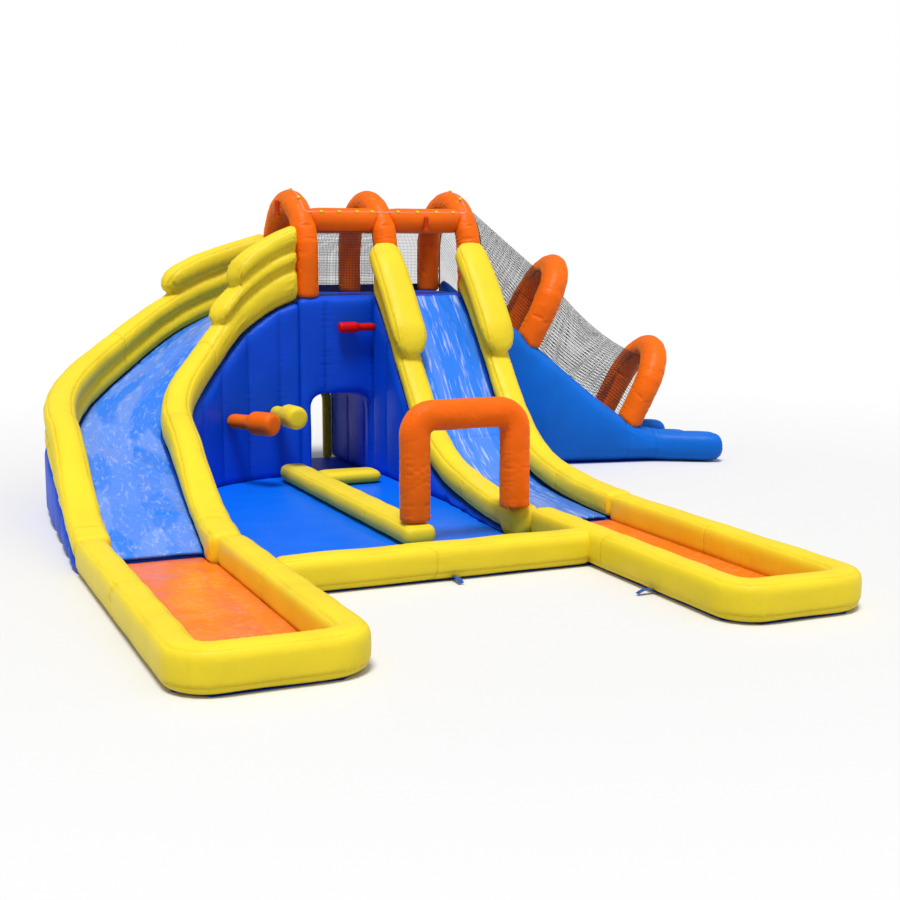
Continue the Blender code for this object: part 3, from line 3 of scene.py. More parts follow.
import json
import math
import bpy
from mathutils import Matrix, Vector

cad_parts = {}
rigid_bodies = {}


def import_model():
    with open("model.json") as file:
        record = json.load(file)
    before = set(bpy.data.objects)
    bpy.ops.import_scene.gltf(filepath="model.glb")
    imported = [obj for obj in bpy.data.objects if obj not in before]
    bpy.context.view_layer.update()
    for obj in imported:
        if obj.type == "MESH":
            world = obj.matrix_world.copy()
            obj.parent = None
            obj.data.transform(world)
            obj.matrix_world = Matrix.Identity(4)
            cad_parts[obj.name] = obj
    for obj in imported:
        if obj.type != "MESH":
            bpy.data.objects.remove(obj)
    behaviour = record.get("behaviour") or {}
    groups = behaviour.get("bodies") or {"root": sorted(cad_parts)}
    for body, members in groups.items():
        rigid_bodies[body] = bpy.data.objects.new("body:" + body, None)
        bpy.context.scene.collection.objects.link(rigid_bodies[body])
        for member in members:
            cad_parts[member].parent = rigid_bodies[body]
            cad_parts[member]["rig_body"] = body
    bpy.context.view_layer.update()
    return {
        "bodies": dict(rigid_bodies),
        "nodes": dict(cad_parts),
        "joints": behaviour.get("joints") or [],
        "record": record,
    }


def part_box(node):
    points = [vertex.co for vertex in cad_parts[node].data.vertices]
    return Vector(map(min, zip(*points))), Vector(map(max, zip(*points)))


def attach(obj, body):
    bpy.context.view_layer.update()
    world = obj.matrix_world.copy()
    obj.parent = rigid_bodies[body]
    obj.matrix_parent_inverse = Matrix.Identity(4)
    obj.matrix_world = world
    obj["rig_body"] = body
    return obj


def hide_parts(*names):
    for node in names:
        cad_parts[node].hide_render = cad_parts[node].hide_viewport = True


bl_info = {
    "name": "Inflatable Water Park",
    "version": (1, 0, 0),
    "blender": (4, 5, 0),
    "location": "View3D > Sidebar > Water Park",
    "description": "Builds the soft and hard parts of an inflatable water park round its packed frame",
    "category": "Add Mesh",
}

import bmesh
import bpy
import numpy as np
from mathutils import Vector
from mathutils.bvhtree import BVHTree

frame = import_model()
NODES = frame["nodes"]

# The plan's left front corner in the frame. Plan sizes below count from it, in metres.
SITE = Vector((-3.155771, -3.601467, 0.0))
TOWER_LEFT, TOWER_RIGHT = 2.32, 4.05
TOWER_FRONT, TOWER_BACK = 5.37, 6.53
DECK_TOP = 1.56
CURVE_CENTRE = Vector((2.21, 4.33))
CURVE_MIDDLE_RADIUS = 1.62
RUN_IN = 0.11
ARCH_X = (2.43, 3.15, 3.94)
ARCH_MIDDLE_Y = 5.95
ARCH_RADIUS = 0.47
ARCH_SPRING = 1.89
ARCH_TUBE = 0.10
CROSSBAR_HEIGHT = 2.20
CROSSBAR_TUBE = 0.09
CROSSBAR_SET_IN = math.sqrt(ARCH_RADIUS**2 - (CROSSBAR_HEIGHT - ARCH_SPRING) ** 2)
CROSSBAR_ANGLE = math.atan2(CROSSBAR_HEIGHT - ARCH_SPRING, CROSSBAR_SET_IN)
HOSE_RADIUS = 0.006
RAMP_TURN = math.radians(12)
RAMP_ALONG = Vector((math.cos(RAMP_TURN), -math.sin(RAMP_TURN), 0))
RAMP_ACROSS = Vector((math.sin(RAMP_TURN), math.cos(RAMP_TURN), 0))
RAMP_CORNER = Vector((4.053, 5.37, 0))
RAMP_WIDTH = 1.05
# Distance along the ramp and height of the feet of its upper and its lower loop.
RAMP_ARCHES = ((0.43, 1.133), (1.40, 0.373))
RAMP_ARCH_LEAN = math.radians(27)
RAMP_ARCH_RISE = Vector((0, 0, math.cos(RAMP_ARCH_LEAN))) + RAMP_ALONG * math.sin(RAMP_ARCH_LEAN)
RAMP_ARCH_REACH = 0.72
RAMP_ARCH_RADIUS = RAMP_WIDTH / 2 - 0.12
TUNNEL_MIDDLE_X, TUNNEL_WIDTH, TUNNEL_HEIGHT = 2.695, 0.55, 0.73
GATE_MIDDLE_X = 2.545
GATE_SHOULDER = 0.85

# Distances along the front crossbars at which a loop holds the hose, and its angles on the outer loops.
HOSE_LOOP_X = (2.58, 2.74, 2.90, 3.04, 3.28, 3.46, 3.64, 3.80)
HOSE_LOOP_TURNS = (math.radians(60), math.radians(85))
# Place of each anchor tab in the plan, and the direction in which it points, in degrees.
TABS = ((2.08, 1.575, -90), (2.995, 0.85, 180), (3.955, 1.3, 0), (2.55, 6.54, 90), (3.95, 6.54, 90))

# Share of the triangles that a finished inflated form keeps. They go where it is even.
KEPT_SHARE = 0.6
# Depth at which a crease has its full painted shade.
CREASE_DEPTH = 0.006

# The photograph's camera, from the plan's corner.
CAMERA_PLACE = (-1.26, -5.95, 2.05)
CAMERA_YAW, CAMERA_PITCH = math.radians(23.7), math.radians(8.61)
# Name, strength, angle and turn of each lamp, angles in degrees.
LAMPS = (("key", 2.75, 18, (19, 0, -30)), ("fill", 0.35, 90, (50, 0, 60)))


def linear(code):
    """An sRGB hex colour as linear red, green and blue."""
    out = []
    for i in (1, 3, 5):
        value = int(code[i : i + 2], 16) / 255
        out.append(value / 12.92 if value <= 0.04045 else ((value + 0.055) / 1.055) ** 2.4)
    return tuple(out)


def plan(x, y, z=0.0):
    """A point given from the plan's corner, in the frame."""
    return Vector((x, y, z)) + SITE


def colour_property(name, description, code):
    return bpy.props.FloatVectorProperty(
        name=name, description=description, subtype="COLOR", size=3, default=linear(code))


def length_property(name, description, default, low, high):
    return bpy.props.FloatProperty(
        name=name, description=description, default=default, min=low, max=high, unit="LENGTH")


class ParkColours(bpy.types.PropertyGroup):
    yellow: colour_property("Yellow fabric", "Colour of the walls, rails and beams", "#F6DC30")
    orange: colour_property("Orange fabric", "Colour of the loops, crossbars and gate", "#FF6E0A")
    blue: colour_property("Blue fabric", "Colour of the tower and the bodies under the slides", "#0450E0")
    ramp_blue: colour_property("Ramp blue", "Colour of the climbing ramp", "#066EDC")
    lane_blue: colour_property("Lane blue", "Colour of the wet sliding sheets", "#1E7CF6")
    floor_blue: colour_property("Court floor", "Colour of the court's floor", "#0670FA")
    pool_orange: colour_property("Pool floor", "Colour of the splash pools' floors", "#FF7618")
    red: colour_property("Red fabric", "Colour of the upper peg", "#D80A12")
    net: colour_property("Netting", "Colour of the knotted netting", "#1B1A1E")
    shell: colour_property("Blower shell", "Colour of the blower's moulded shell", "#26272A")


class ParkSizes(bpy.types.PropertyGroup):
    grain: length_property("Grain", "Voxel size of the inflated forms", 0.02, 0.01, 0.05)
    relax: bpy.props.IntProperty(
        name="Relax", description="Smoothing passes that round the inflated forms", default=10, min=0, max=60)
    pinch: length_property("Seam pinch", "How deep a seam draws the fabric in", 0.006, 0.0, 0.02)
    pucker: length_property("Pucker", "Height of the small folds beside a seam", 0.0035, 0.0, 0.01)
    pucker_pitch: length_property("Pucker pitch", "Spacing of the small folds along a seam", 0.042, 0.01, 0.1)
    mesh_pitch: length_property("Net mesh", "Spacing of the netting's threads", 0.014, 0.004, 0.05)


# Materials


def add(tree, kind, inputs=(), **settings):
    """A node with its settings, and its inputs as values or as links from other nodes' sockets."""
    node = tree.nodes.new(kind)
    for key, value in settings.items():
        setattr(node, key, value)
    for key, value in dict(inputs).items():
        if isinstance(value, bpy.types.NodeSocket):
            tree.links.new(value, node.inputs[key])
        else:
            node.inputs[key].default_value = value
    return node


def material(name, colour, roughness, **values):
    """A material with a Principled shader, and the Object coordinates that its patterns read."""
    made = bpy.data.materials.new(name)
    made.use_nodes = True
    made.diffuse_color = (*colour, 1)
    tree = made.node_tree
    shader = tree.nodes["Principled BSDF"]
    shader.inputs["Base Color"].default_value = (*colour, 1)
    shader.inputs["Roughness"].default_value = roughness
    for key, value in values.items():
        shader.inputs[key.replace("_", " ")].default_value = value
    return made, tree, add(tree, "ShaderNodeTexCoord").outputs["Object"]


def drive(made, **sources):
    """Links the sources to the shader's inputs of the same names."""
    tree = made.node_tree
    for key, source in sources.items():
        tree.links.new(source, tree.nodes["Principled BSDF"].inputs[key.replace("_", " ")])
    return made


def coated_fabric(name, colour, roughness=0.42, tint=0.10, shade_strength=0.28, sheen=0.1):
    """PVC-coated oxford nylon, woven and then laminated: a soft broad shine over a fine basket weave."""
    bloom = (*(min(1.0, 2.4 * channel + 0.01) for channel in colour), 1)
    made, tree, place = material(name, colour, roughness, Specular_IOR_Level=0.16, Sheen_Weight=sheen,
                                 Sheen_Roughness=0.45, Sheen_Tint=bloom)
    cloud = add(tree, "ShaderNodeTexNoise", {"Vector": place, "Scale": 3.0, "Detail": 3.0}).outputs["Fac"]
    shade = add(tree, "ShaderNodeMapRange", {0: cloud, 1: 0.35, 2: 0.75}).outputs[0]
    deep = tuple(channel * (1 - tint) for channel in colour)
    cloth = add(tree, "ShaderNodeMix", {0: shade, 6: (*colour, 1), 7: (*deep, 1)}, data_type="RGBA").outputs[2]
    # Painted shade: the colour darkens wherever the surface goes in, at seams, their small folds and gathered ends.
    crease = add(tree, "ShaderNodeAttribute", attribute_name="crease").outputs["Fac"]
    line = add(tree, "ShaderNodeMapRange", {0: crease, 1: 0.3, 2: 1.0, 4: shade_strength}).outputs[0]
    crease_shade_colour = tuple(channel * share for channel, share in zip(colour, (0.66, 0.46, 0.36)))
    shaded_cloth = add(tree, "ShaderNodeMix", {0: line, 6: cloth, 7: (*crease_shade_colour, 1)}, data_type="RGBA").outputs[2]
    # Threads are 0.5 mm apart, too fine to show, so the weave is drawn with a 6 mm pitch.
    weave = add(tree, "ShaderNodeTexVoronoi", {"Vector": place, "Scale": 170.0}, feature="F1").outputs["Distance"]
    crumple = add(tree, "ShaderNodeTexNoise", {"Vector": place, "Scale": 14.0, "Detail": 4.0, "Roughness": 0.6})
    fine = add(tree, "ShaderNodeBump", {"Height": weave, "Strength": 0.10, "Distance": 0.001}).outputs[0]
    broad = add(tree, "ShaderNodeBump", {
        "Height": crumple.outputs["Fac"], "Normal": fine, "Strength": 0.22, "Distance": 0.012}).outputs[0]
    gloss = add(tree, "ShaderNodeMapRange", {0: cloud, 3: roughness - 0.06, 4: roughness + 0.08}).outputs[0]
    return drive(made, Base_Color=shaded_cloth, Normal=broad, Roughness=gloss)


def wet_sheet(name, colour, stretch=1.0, waver=0.15, runs_and_sheen=0.6, facets_and_light=0.2, glints=0.0):
    """Slick PVC sheet under a film of water. Painted highlights lighten its colour: pale streaks along the sheet, pale
    patches on soft crumpled planes and glints along their folds.
    """
    made, tree, place = material(name, colour, 0.2, Specular_IOR_Level=0.4, Coat_Weight=0.3, Coat_Roughness=0.08)
    if stretch != 1.0:
        place = add(tree, "ShaderNodeUVMap", uv_map="UVMap").outputs[0]
    warp = add(tree, "ShaderNodeTexNoise", {"Vector": place, "Scale": 2.5, "Detail": 2.0}).outputs["Color"]
    bent = add(tree, "ShaderNodeMix", {0: waver, 4: place, 5: warp}, data_type="VECTOR").outputs[1]
    drawn = add(tree, "ShaderNodeMapping", {"Vector": bent, "Scale": (1.0, stretch, 1.0)}).outputs[0]
    facet = add(tree, "ShaderNodeTexVoronoi", {"Vector": drawn, "Scale": 6.5, "Smoothness": 0.3},
                feature="SMOOTH_F1").outputs
    film = add(tree, "ShaderNodeTexNoise", {
        "Vector": drawn, "Scale": 34.0, "Detail": 4.0, "Roughness": 0.6, "Distortion": 0.3}).outputs["Fac"]
    fold = add(tree, "ShaderNodeTexNoise", {
        "Vector": drawn, "Scale": 8.0, "Detail": 1.5, "Distortion": 0.8}).outputs["Fac"]
    pick = add(tree, "ShaderNodeSeparateColor", {0: facet["Color"]}).outputs
    # Painted light: the pale patches, streaks and fold glints below are mixed into the colour, as the sky's light lying
    # on a crumpled wet sheet.
    facet_light = add(tree, "ShaderNodeMapRange", {0: pick[0], 1: 0.3, 2: 0.9, 4: facets_and_light}).outputs[0]
    line = add(tree, "ShaderNodeMapRange", {0: film, 1: 0.54, 2: 0.66, 4: runs_and_sheen}).outputs[0]
    off = add(tree, "ShaderNodeMath", {0: fold, 1: 0.5}, operation="SUBTRACT").outputs[0]
    near = add(tree, "ShaderNodeMath", {0: off}, operation="ABSOLUTE").outputs[0]
    glint = add(tree, "ShaderNodeMapRange", {0: near, 1: 0.0, 2: 0.014, 3: glints, 4: 0.0}).outputs[0]
    some = add(tree, "ShaderNodeMath", {0: glint, 1: pick[1]}, operation="MULTIPLY").outputs[0]
    both = add(tree, "ShaderNodeMath", {0: facet_light, 1: line}, operation="ADD").outputs[0]
    share = add(tree, "ShaderNodeMath", {0: both, 1: some}, operation="ADD").outputs[0]
    pale = tuple(0.55 * channel + 0.45 for channel in colour)
    tone = add(tree, "ShaderNodeMix", {0: share, 6: (*colour, 1), 7: (*pale, 1)}, data_type="RGBA").outputs[2]
    soft = add(tree, "ShaderNodeBump", {
        "Height": facet["Distance"], "Strength": min(1.0, 2.5 * facets_and_light), "Distance": 0.05}).outputs[0]
    beads = add(tree, "ShaderNodeBump", {
        "Height": film, "Normal": soft, "Strength": 0.5 * runs_and_sheen, "Distance": 0.006}).outputs[0]
    return drive(made, Base_Color=tone, Normal=beads)


def clear_vinyl(name, colour):
    """Clear vinyl tube, so thin and clear that mostly its glints show."""
    return material(name, colour, 0.1, Alpha=0.2)[0]


def netting(name, colour, pitch, thread, stripe=0.0, width=0.0):
    """Knotted polyester netting. Its mesh follows the sheet's own map, which is laid out in metres.

    Its knots lie closer than a picture shows, so the mesh is drawn coarser. Stripes are its doubled cords."""
    made, tree, _ = material(name, colour, 0.75)
    chart = add(tree, "ShaderNodeUVMap", uv_map="UVMap").outputs[0]
    parts = add(tree, "ShaderNodeSeparateXYZ", {0: chart}).outputs
    thick = 0.0
    for axis, spacing, size in ((0, pitch, thread), (1, pitch, thread), (0, stripe, width)):
        if spacing:
            cells = add(tree, "ShaderNodeMath", {0: parts[axis], 1: 1 / spacing}, operation="MULTIPLY").outputs[0]
            saw = add(tree, "ShaderNodeMath", {0: cells}, operation="FRACT").outputs[0]
            line = add(tree, "ShaderNodeMath", {0: saw, 1: size / spacing}, operation="LESS_THAN").outputs[0]
            thick = add(tree, "ShaderNodeMath", {0: thick, 1: line}, operation="MAXIMUM").outputs[0]
    return drive(made, Alpha=thick)


def moulded(name, colour, roughness=0.5):
    """Injection-moulded plastic with a fine spark-eroded grain."""
    made, tree, place = material(name, colour, roughness)
    grit = add(tree, "ShaderNodeTexNoise", {"Vector": place, "Scale": 260.0, "Detail": 2.0}).outputs["Fac"]
    grain = add(tree, "ShaderNodeBump", {"Height": grit, "Strength": 0.15, "Distance": 0.0008}).outputs[0]
    gloss = add(tree, "ShaderNodeMapRange", {0: grit, 3: roughness - 0.08, 4: roughness + 0.08}).outputs[0]
    return drive(made, Normal=grain, Roughness=gloss)


def painted_steel(name, colour):
    """Powder-coated steel with a faint orange peel."""
    made, tree, place = material(name, colour, 0.38, Metallic=0.3)
    peel = add(tree, "ShaderNodeTexNoise", {"Vector": place, "Scale": 420.0, "Detail": 1.0}).outputs["Fac"]
    coat = add(tree, "ShaderNodeBump", {"Height": peel, "Strength": 0.12, "Distance": 0.0005}).outputs[0]
    return drive(made, Normal=coat)


FINISHES = {}


def mix_finishes():
    tone = bpy.context.scene.park_colours
    size = bpy.context.scene.park_sizes
    FINISHES.update(
        yellow=coated_fabric("Coated nylon, yellow", tone.yellow, tint=0.08),
        orange=coated_fabric("Coated nylon, orange", tone.orange, sheen=0.6),
        blue=coated_fabric("Coated nylon, blue", tone.blue, 0.46, 0.16, 0.22),
        ramp_blue=coated_fabric("Coated nylon, ramp blue", tone.ramp_blue, 0.44, 0.14, 0.2),
        court=coated_fabric("Coated nylon, court floor", tone.floor_blue, 0.34),
        straight_lane=wet_sheet("Wet slick sheet, straight", tone.lane_blue, 0.09, 0.03, 0.8, 0.12),
        curved_lane=wet_sheet("Wet slick sheet, curved", tone.lane_blue, 0.3, 0.12, 0.35, 0.24, 0.22),
        pool=wet_sheet("Wet slick sheet, orange", tone.pool_orange, runs_and_sheen=0.18, facets_and_light=0.06),
        red=coated_fabric("Coated nylon, red", tone.red),
        # The nozzles' orange is darker as painted shade, for nozzles that sit in shade.
        pouch=coated_fabric("Coated nylon, orange in painted shade", linear("#C8420C")),
        net=netting("Knotted netting", tone.net, size.mesh_pitch, 0.0026),
        canopy=netting("Canopy netting", tone.net, size.mesh_pitch, 0.0019, 0.027, 0.0045),
        hose=clear_vinyl("Clear vinyl hose", linear("#DDE6EA")),
        shell=moulded("Moulded shell, black", tone.shell),
        steel=painted_steel("Powder-coated steel", linear("#B9BCC0")),
        webbing=moulded("Woven webbing, blue", linear("#1C4FA8"), 0.7),
        binding=moulded("Bound edge, black", linear("#1E1E22"), 0.7),
    )


# Shapes


def linked(name, data):
    """A new object that holds the data, linked to the scene."""
    made = bpy.data.objects.new(name, data)
    bpy.context.scene.collection.objects.link(made)
    return made


def box(name, middle, size):
    bpy.ops.mesh.primitive_cube_add(size=1, location=middle)
    piece = bpy.context.object
    piece.name = piece.data.name = name
    piece.scale = size
    bpy.ops.object.transform_apply(location=True, rotation=True, scale=True)
    return piece


def activate(piece):
    if bpy.context.object and bpy.context.object.mode != "OBJECT":
        bpy.ops.object.mode_set(mode="OBJECT")
    bpy.ops.object.select_all(action="DESELECT")
    piece.select_set(True)
    bpy.context.view_layer.objects.active = piece


def modify(piece, kind, **settings):
    """Adds one modifier and applies it."""
    activate(piece)
    modifier = piece.modifiers.new(kind.title(), kind)
    for key, value in settings.items():
        setattr(modifier, key, value)
    bpy.ops.object.modifier_apply(modifier=modifier.name)


def node_copy(nodes, name):
    """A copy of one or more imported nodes' meshes, their loose triangles merged."""
    parts = []
    for node in (nodes,) if isinstance(nodes, str) else nodes:
        part = linked(name, NODES[node].data.copy())
        part.data.materials.clear()
        parts.append(part)
    piece = parts[0]
    activate(piece)
    if len(parts) > 1:
        for part in parts:
            part.select_set(True)
        bpy.ops.object.join()
    bpy.ops.object.mode_set(mode="EDIT")
    bpy.ops.mesh.select_all(action="SELECT")
    bpy.ops.mesh.remove_doubles(threshold=0.0002)
    bpy.ops.object.mode_set(mode="OBJECT")
    return piece


def skins(form):
    """The connected skins of a form, the largest last."""
    left, out = set(form.faces), []
    while left:
        group = [left.pop()]
        for face in group:
            for edge in face.edges:
                near = left.intersection(edge.link_faces)
                left -= near
                group.extend(near)
        out.append(group)
    return sorted(out, key=lambda group: sum(face.calc_area() for face in group))


def close_hollow(piece):
    """Keeps the outer skin of a body that is open below, and closes it underneath and at an open end."""
    form = bmesh.new()
    form.from_mesh(piece.data)
    tree = BVHTree.FromBMesh(form)
    inner = []
    for face in form.faces:
        start = face.calc_center_median() + face.normal * 0.0005
        if face.normal.z < -0.2 or tree.ray_cast(start, face.normal, 4.0)[0] is not None:
            inner.append(face)
    bmesh.ops.delete(form, geom=inner, context="FACES")
    for group in skins(form)[:-1]:
        bmesh.ops.delete(form, geom=group, context="FACES")
    rim = [edge for edge in form.edges if edge.is_boundary]
    low = min(corner.co.z for edge in rim for corner in edge.verts) + 0.002
    end = [edge for edge in rim if max(corner.co.z for corner in edge.verts) > low]
    rim = [edge for edge in rim if edge not in end]
    if end:
        feet = [corner for corner in {corner for edge in end for corner in edge.verts} if corner.co.z < low]
        sill = form.edges.new(feet)
        bmesh.ops.edgeloop_fill(form, edges=end + [sill])
        rim.append(sill)
    bmesh.ops.edgeloop_fill(form, edges=rim)
    bmesh.ops.recalc_face_normals(form, faces=form.faces[:])
    if any(edge.is_boundary for edge in form.edges):
        raise RuntimeError(piece.name + " is still open")
    form.to_mesh(piece.data)
    form.free()


def paint(piece, finish):
    piece.data.materials.clear()
    piece.data.materials.append(FINISHES[finish])


def dress(piece, finish, slot, *nodes):
    """Finishes a piece: its material and body, and the nodes that it stands for, if any. The slot is not used."""
    paint(piece, finish)
    activate(piece)
    bpy.ops.object.shade_smooth()
    body = "park"
    if nodes:
        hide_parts(*nodes)
        body = NODES[nodes[0]]["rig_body"]
    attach(piece, body)
    return piece


def ripple(along, pitch, seed):
    """Uneven small folds along a seam, from 0 to 1, some of them missing."""
    phase = 2 * np.pi * along / pitch
    wave = np.sin(phase + 1.6 * np.sin(phase / 5.3 + seed) + 0.9 * np.sin(phase / 2.7 + 2.1 * seed))
    gap = 0.55 + 0.45 * np.sin(phase / 7.1 + 3.3 * seed) * np.sin(phase / 3.9 + 0.7 * seed)
    return np.maximum(wave, 0) ** 1.5 * gap


def seam(away, along, seed=0.0, depth=1.0, folds=1.0, reach=0.036, line=0.007):
    """Displacement of a stitched seam: the fabric drawn in on its line, and small folds across it."""
    size = bpy.context.scene.park_sizes
    pinch = -size.pinch * depth * np.exp(-((away / line) ** 2))
    fold = -size.pucker * folds * np.exp(-((away / reach) ** 2)) * ripple(along, size.pucker_pitch, seed)
    return pinch + fold


def unevenness(points, height=0.003, pitch=0.6):
    """Slow swells, because inflated fabric is never quite even."""
    k = 2 * np.pi / pitch
    x, y, z = points.T
    first = np.sin(k * x + 1.3 * np.sin(k * 0.7 * y))
    second = np.sin(k * 0.9 * y + 0.8 * np.sin(k * z))
    return height * first * second * np.cos(k * 1.1 * z + 0.5)


def surface(mesh):
    """A mesh's vertices and their normals."""
    points = np.empty(len(mesh.vertices) * 3)
    mesh.vertices.foreach_get("co", points)
    normals = np.empty(len(mesh.vertices) * 3)
    mesh.vertex_normals.foreach_get("vector", normals)
    return points.reshape(-1, 3), normals.reshape(-1, 3)


def move(piece, points):
    piece.data.vertices.foreach_set("co", points.ravel())
    piece.data.update()


def emboss(piece, relief):
    """Moves each vertex along its normal by what relief(points, normals) gives, and notes where it goes in, for the
    painted shade in creases.
    """
    points, normals = surface(piece.data)
    depth = relief(points, normals)
    move(piece, points + normals * depth[:, None])
    crease = piece.data.attributes.get("crease") or piece.data.attributes.new("crease", "FLOAT", "POINT")
    crease.data.foreach_set("value", np.clip(-depth / CREASE_DEPTH, 0, 1))


def puff(piece, held, growth, frames=20, cap=0.012):
    """Blows the fabric up for 20 frames. It grows a little while its seams stay, so it puckers beside them."""
    scene = bpy.context.scene
    before, normals = surface(piece.data)
    group = piece.vertex_groups.new(name="seam")
    group.add([int(i) for i in np.nonzero(held(before, normals))[0]], 1.0, "REPLACE")
    activate(piece)
    modifier = piece.modifiers.new("Cloth", "CLOTH")
    cloth = modifier.settings
    cloth.quality = 6
    cloth.mass = 0.25
    cloth.use_pressure = True
    cloth.uniform_pressure_force = 4.0
    cloth.shrink_min = -growth
    cloth.bending_stiffness = 0.3
    cloth.vertex_group_mass = group.name
    cloth.effector_weights.gravity = 0
    modifier.point_cache.frame_start = 1
    modifier.point_cache.frame_end = frames
    for frame in range(1, frames + 1):
        scene.frame_set(frame)
    bpy.ops.object.modifier_apply(modifier=modifier.name)
    scene.frame_set(1)
    piece.vertex_groups.clear()
    step = surface(piece.data)[0] - before
    far = np.linalg.norm(step, axis=1, keepdims=True)
    move(piece, before + step * np.minimum(1, cap / np.maximum(far, 1e-9)))


def lengthen(piece, axis, low, high):
    """Moves the ends of a beam a little further out, so that its rounded ends meet what they are sewn to."""
    points, _ = surface(piece.data)
    far = points[:, axis]
    start, end = far.min() + 0.05, far.max() - 0.05
    points[:, axis] += np.where(far > end, high, 0) - np.where(far < start, low, 0)
    move(piece, points)


def finish_inflated(piece, relief, finish, slot, *nodes):
    modify(piece, "SUBSURF", levels=1, render_levels=1)
    if relief is not None:
        emboss(piece, relief)
    modify(piece, "DECIMATE", ratio=KEPT_SHARE)
    dress(piece, finish, slot, *nodes)
    return piece


def inflated(nodes, finish, slot, relief=None, grain=None, relax=None, hollow=False, swell=0.0, held=None,
             growth=0.0, reach=None):
    """The inflated form of one or more nodes: rounded, and blown up if it has seams that are held."""
    size = bpy.context.scene.park_sizes
    nodes = (nodes,) if isinstance(nodes, str) else nodes
    piece = node_copy(nodes, nodes[0] + "_fabric")
    if hollow:
        close_hollow(piece)
    if reach:
        lengthen(piece, *reach)
    modify(piece, "REMESH", mode="VOXEL", voxel_size=grain or size.grain)
    modify(piece, "SMOOTH", factor=0.5, iterations=size.relax if relax is None else relax)
    if swell:
        emboss(piece, lambda points, normals: np.full(len(points), swell))
    if held is not None:
        puff(piece, held, growth)
    return finish_inflated(piece, relief, finish, slot, *nodes)


# Where a point lies along and across the pieces


def from_plan(points):
    return points - np.array(SITE)


def slope(normals):
    """Angle of the surface from level, from 0 on top to pi below."""
    return np.arccos(np.clip(normals[:, 2], -1, 1))


def section(normals, across):
    """Angle round a tube from its top, measured in its own section, so that a steep tube has it too."""
    side = np.abs((normals * across).sum(1))
    up = np.sqrt(np.clip(1 - side**2, 0, 1)) * np.where(normals[:, 2] < -1e-6, -1, 1)
    return np.arctan2(side, up)


def curved_across(points):
    """Level direction across the curved slide at each point."""
    q = from_plan(points)
    out = np.zeros_like(q)
    out[:, 0] = np.minimum(q[:, 0] - CURVE_CENTRE.x, 0)
    out[:, 1] = np.maximum(q[:, 1] - CURVE_CENTRE.y, 0)
    out[:, 1] += 1e-6
    return out / np.linalg.norm(out, axis=1, keepdims=True)


def curved_run(points):
    """Distance along the curved slide from the tower."""
    q = from_plan(points)
    x, y = q[:, 0] - CURVE_CENTRE.x, q[:, 1] - CURVE_CENTRE.y
    bend = RUN_IN + CURVE_MIDDLE_RADIUS * (np.pi / 2 - np.arctan2(np.maximum(y, 0), np.maximum(-x, 1e-6)))
    return np.where(x > 0, RUN_IN - x, np.where(y < 0, RUN_IN + CURVE_MIDDLE_RADIUS * np.pi / 2 - y, bend))


def straight_run(points):
    return TOWER_FRONT - from_plan(points)[:, 1]


def ramp_run(points):
    return (from_plan(points) - np.array(RAMP_CORNER)) @ np.array(RAMP_ALONG)


def level_run(points):
    """Distance for straight level beams in x or y."""
    q = from_plan(points)
    return q[:, 0] + q[:, 1]


def nearness(points, nodes):
    """Distance from each point to the nearest surface of the named nodes."""
    trees = []
    for node in nodes:
        mesh = NODES[node].data
        trees.append(BVHTree.FromPolygons([v.co for v in mesh.vertices], [f.vertices for f in mesh.polygons]))
    far = np.full(len(points), 1.0)
    for i, point in enumerate(points):
        for tree in trees:
            gap = tree.find_nearest(point, 0.16)[3]
            if gap is not None and gap < far[i]:
                far[i] = gap
    return far


def sewn(relief, nodes, run, seed=0.0, depth=1.0, folds=1.0):
    """A relief with the fabric drawn in and gathered where the piece is sewn to its neighbours."""

    def both(points, normals):
        away = nearness(points, nodes)
        along = run(points) + 0.8 * points[:, 2]
        out = seam(away - 0.012, along, seed, depth, 1.3 * folds, 0.055, 0.016)
        return out + (relief(points, normals) if relief else 0)

    return both


def ramp_swell(outward):
    """How far a tall side wall of the ramp stands out between the ground and its top."""

    def swell(points, normals):
        along = ramp_run(points)
        (first, high), (second, low) = RAMP_ARCHES
        top = np.maximum(high + (along - first) * (low - high) / (second - first), 0.25)
        share = np.clip(from_plan(points)[:, 2] / top, 0, 1)
        fade = np.clip((along - 0.05) / 0.5, 0, 1)
        facing = np.clip(outward * (normals @ np.array(RAMP_ACROSS)), 0, 1) ** 2
        return 0.09 * np.sin(np.pi * share) * np.minimum(top, 1) * fade * facing

    return swell


def wall_relief(run, size=0.11, seams=(0.75,), panels=(), seed=0.0, folds=1.0, across=(0, 0, 0), ends=(),
                swell=None):
    """Relief of a long tube: seams along both shoulders, and joins between its panels."""

    def relief(points, normals):
        along = run(points)
        side = across(points) if callable(across) else np.array(across)
        angle = section(normals, side) if np.any(side) else slope(normals)
        out = unevenness(points)
        if swell:
            out += swell(points, normals)
        for k, shoulder in enumerate(seams):
            out += seam((angle - shoulder) * size, along, seed + k, folds=folds)
        around = angle * size * 2
        for k, (end, reach) in enumerate(ends):
            gather = np.exp(-(((along - end) / reach) ** 2))
            out += gather * (0.006 * ripple(around, 0.05, k + seed) - 0.003)
        for k, place in enumerate(panels):
            out += seam(along - place, around + points[:, 2], seed + 5 + k, depth=1.3, folds=1.3 * folds, reach=0.06)
        return out

    return relief


def side_seams(across, size=0.10, width=0.009, at=0.0):
    """Which vertices lie on the seams of a bent tube's side faces."""

    def held(points, normals):
        facing = np.arccos(np.clip(np.abs(normals @ np.array(across)), 0, 1))
        return np.abs(facing - at) * size < width

    return held


def arch_relief(run, across, size=0.10, seed=0.0, folds=1.0, at=0.0):
    """Relief of a bent tube: a seam on each side face, with short folds across it."""

    def relief(points, normals):
        along = run(points)
        facing = np.arccos(np.clip(np.abs(normals @ np.array(across)), 0, 1))
        out = unevenness(points, 0.002, 0.35)
        out += seam((facing - at) * size, along, seed, depth=0.6, folds=1.6 * folds, reach=0.04, line=0.006)
        return out

    return relief


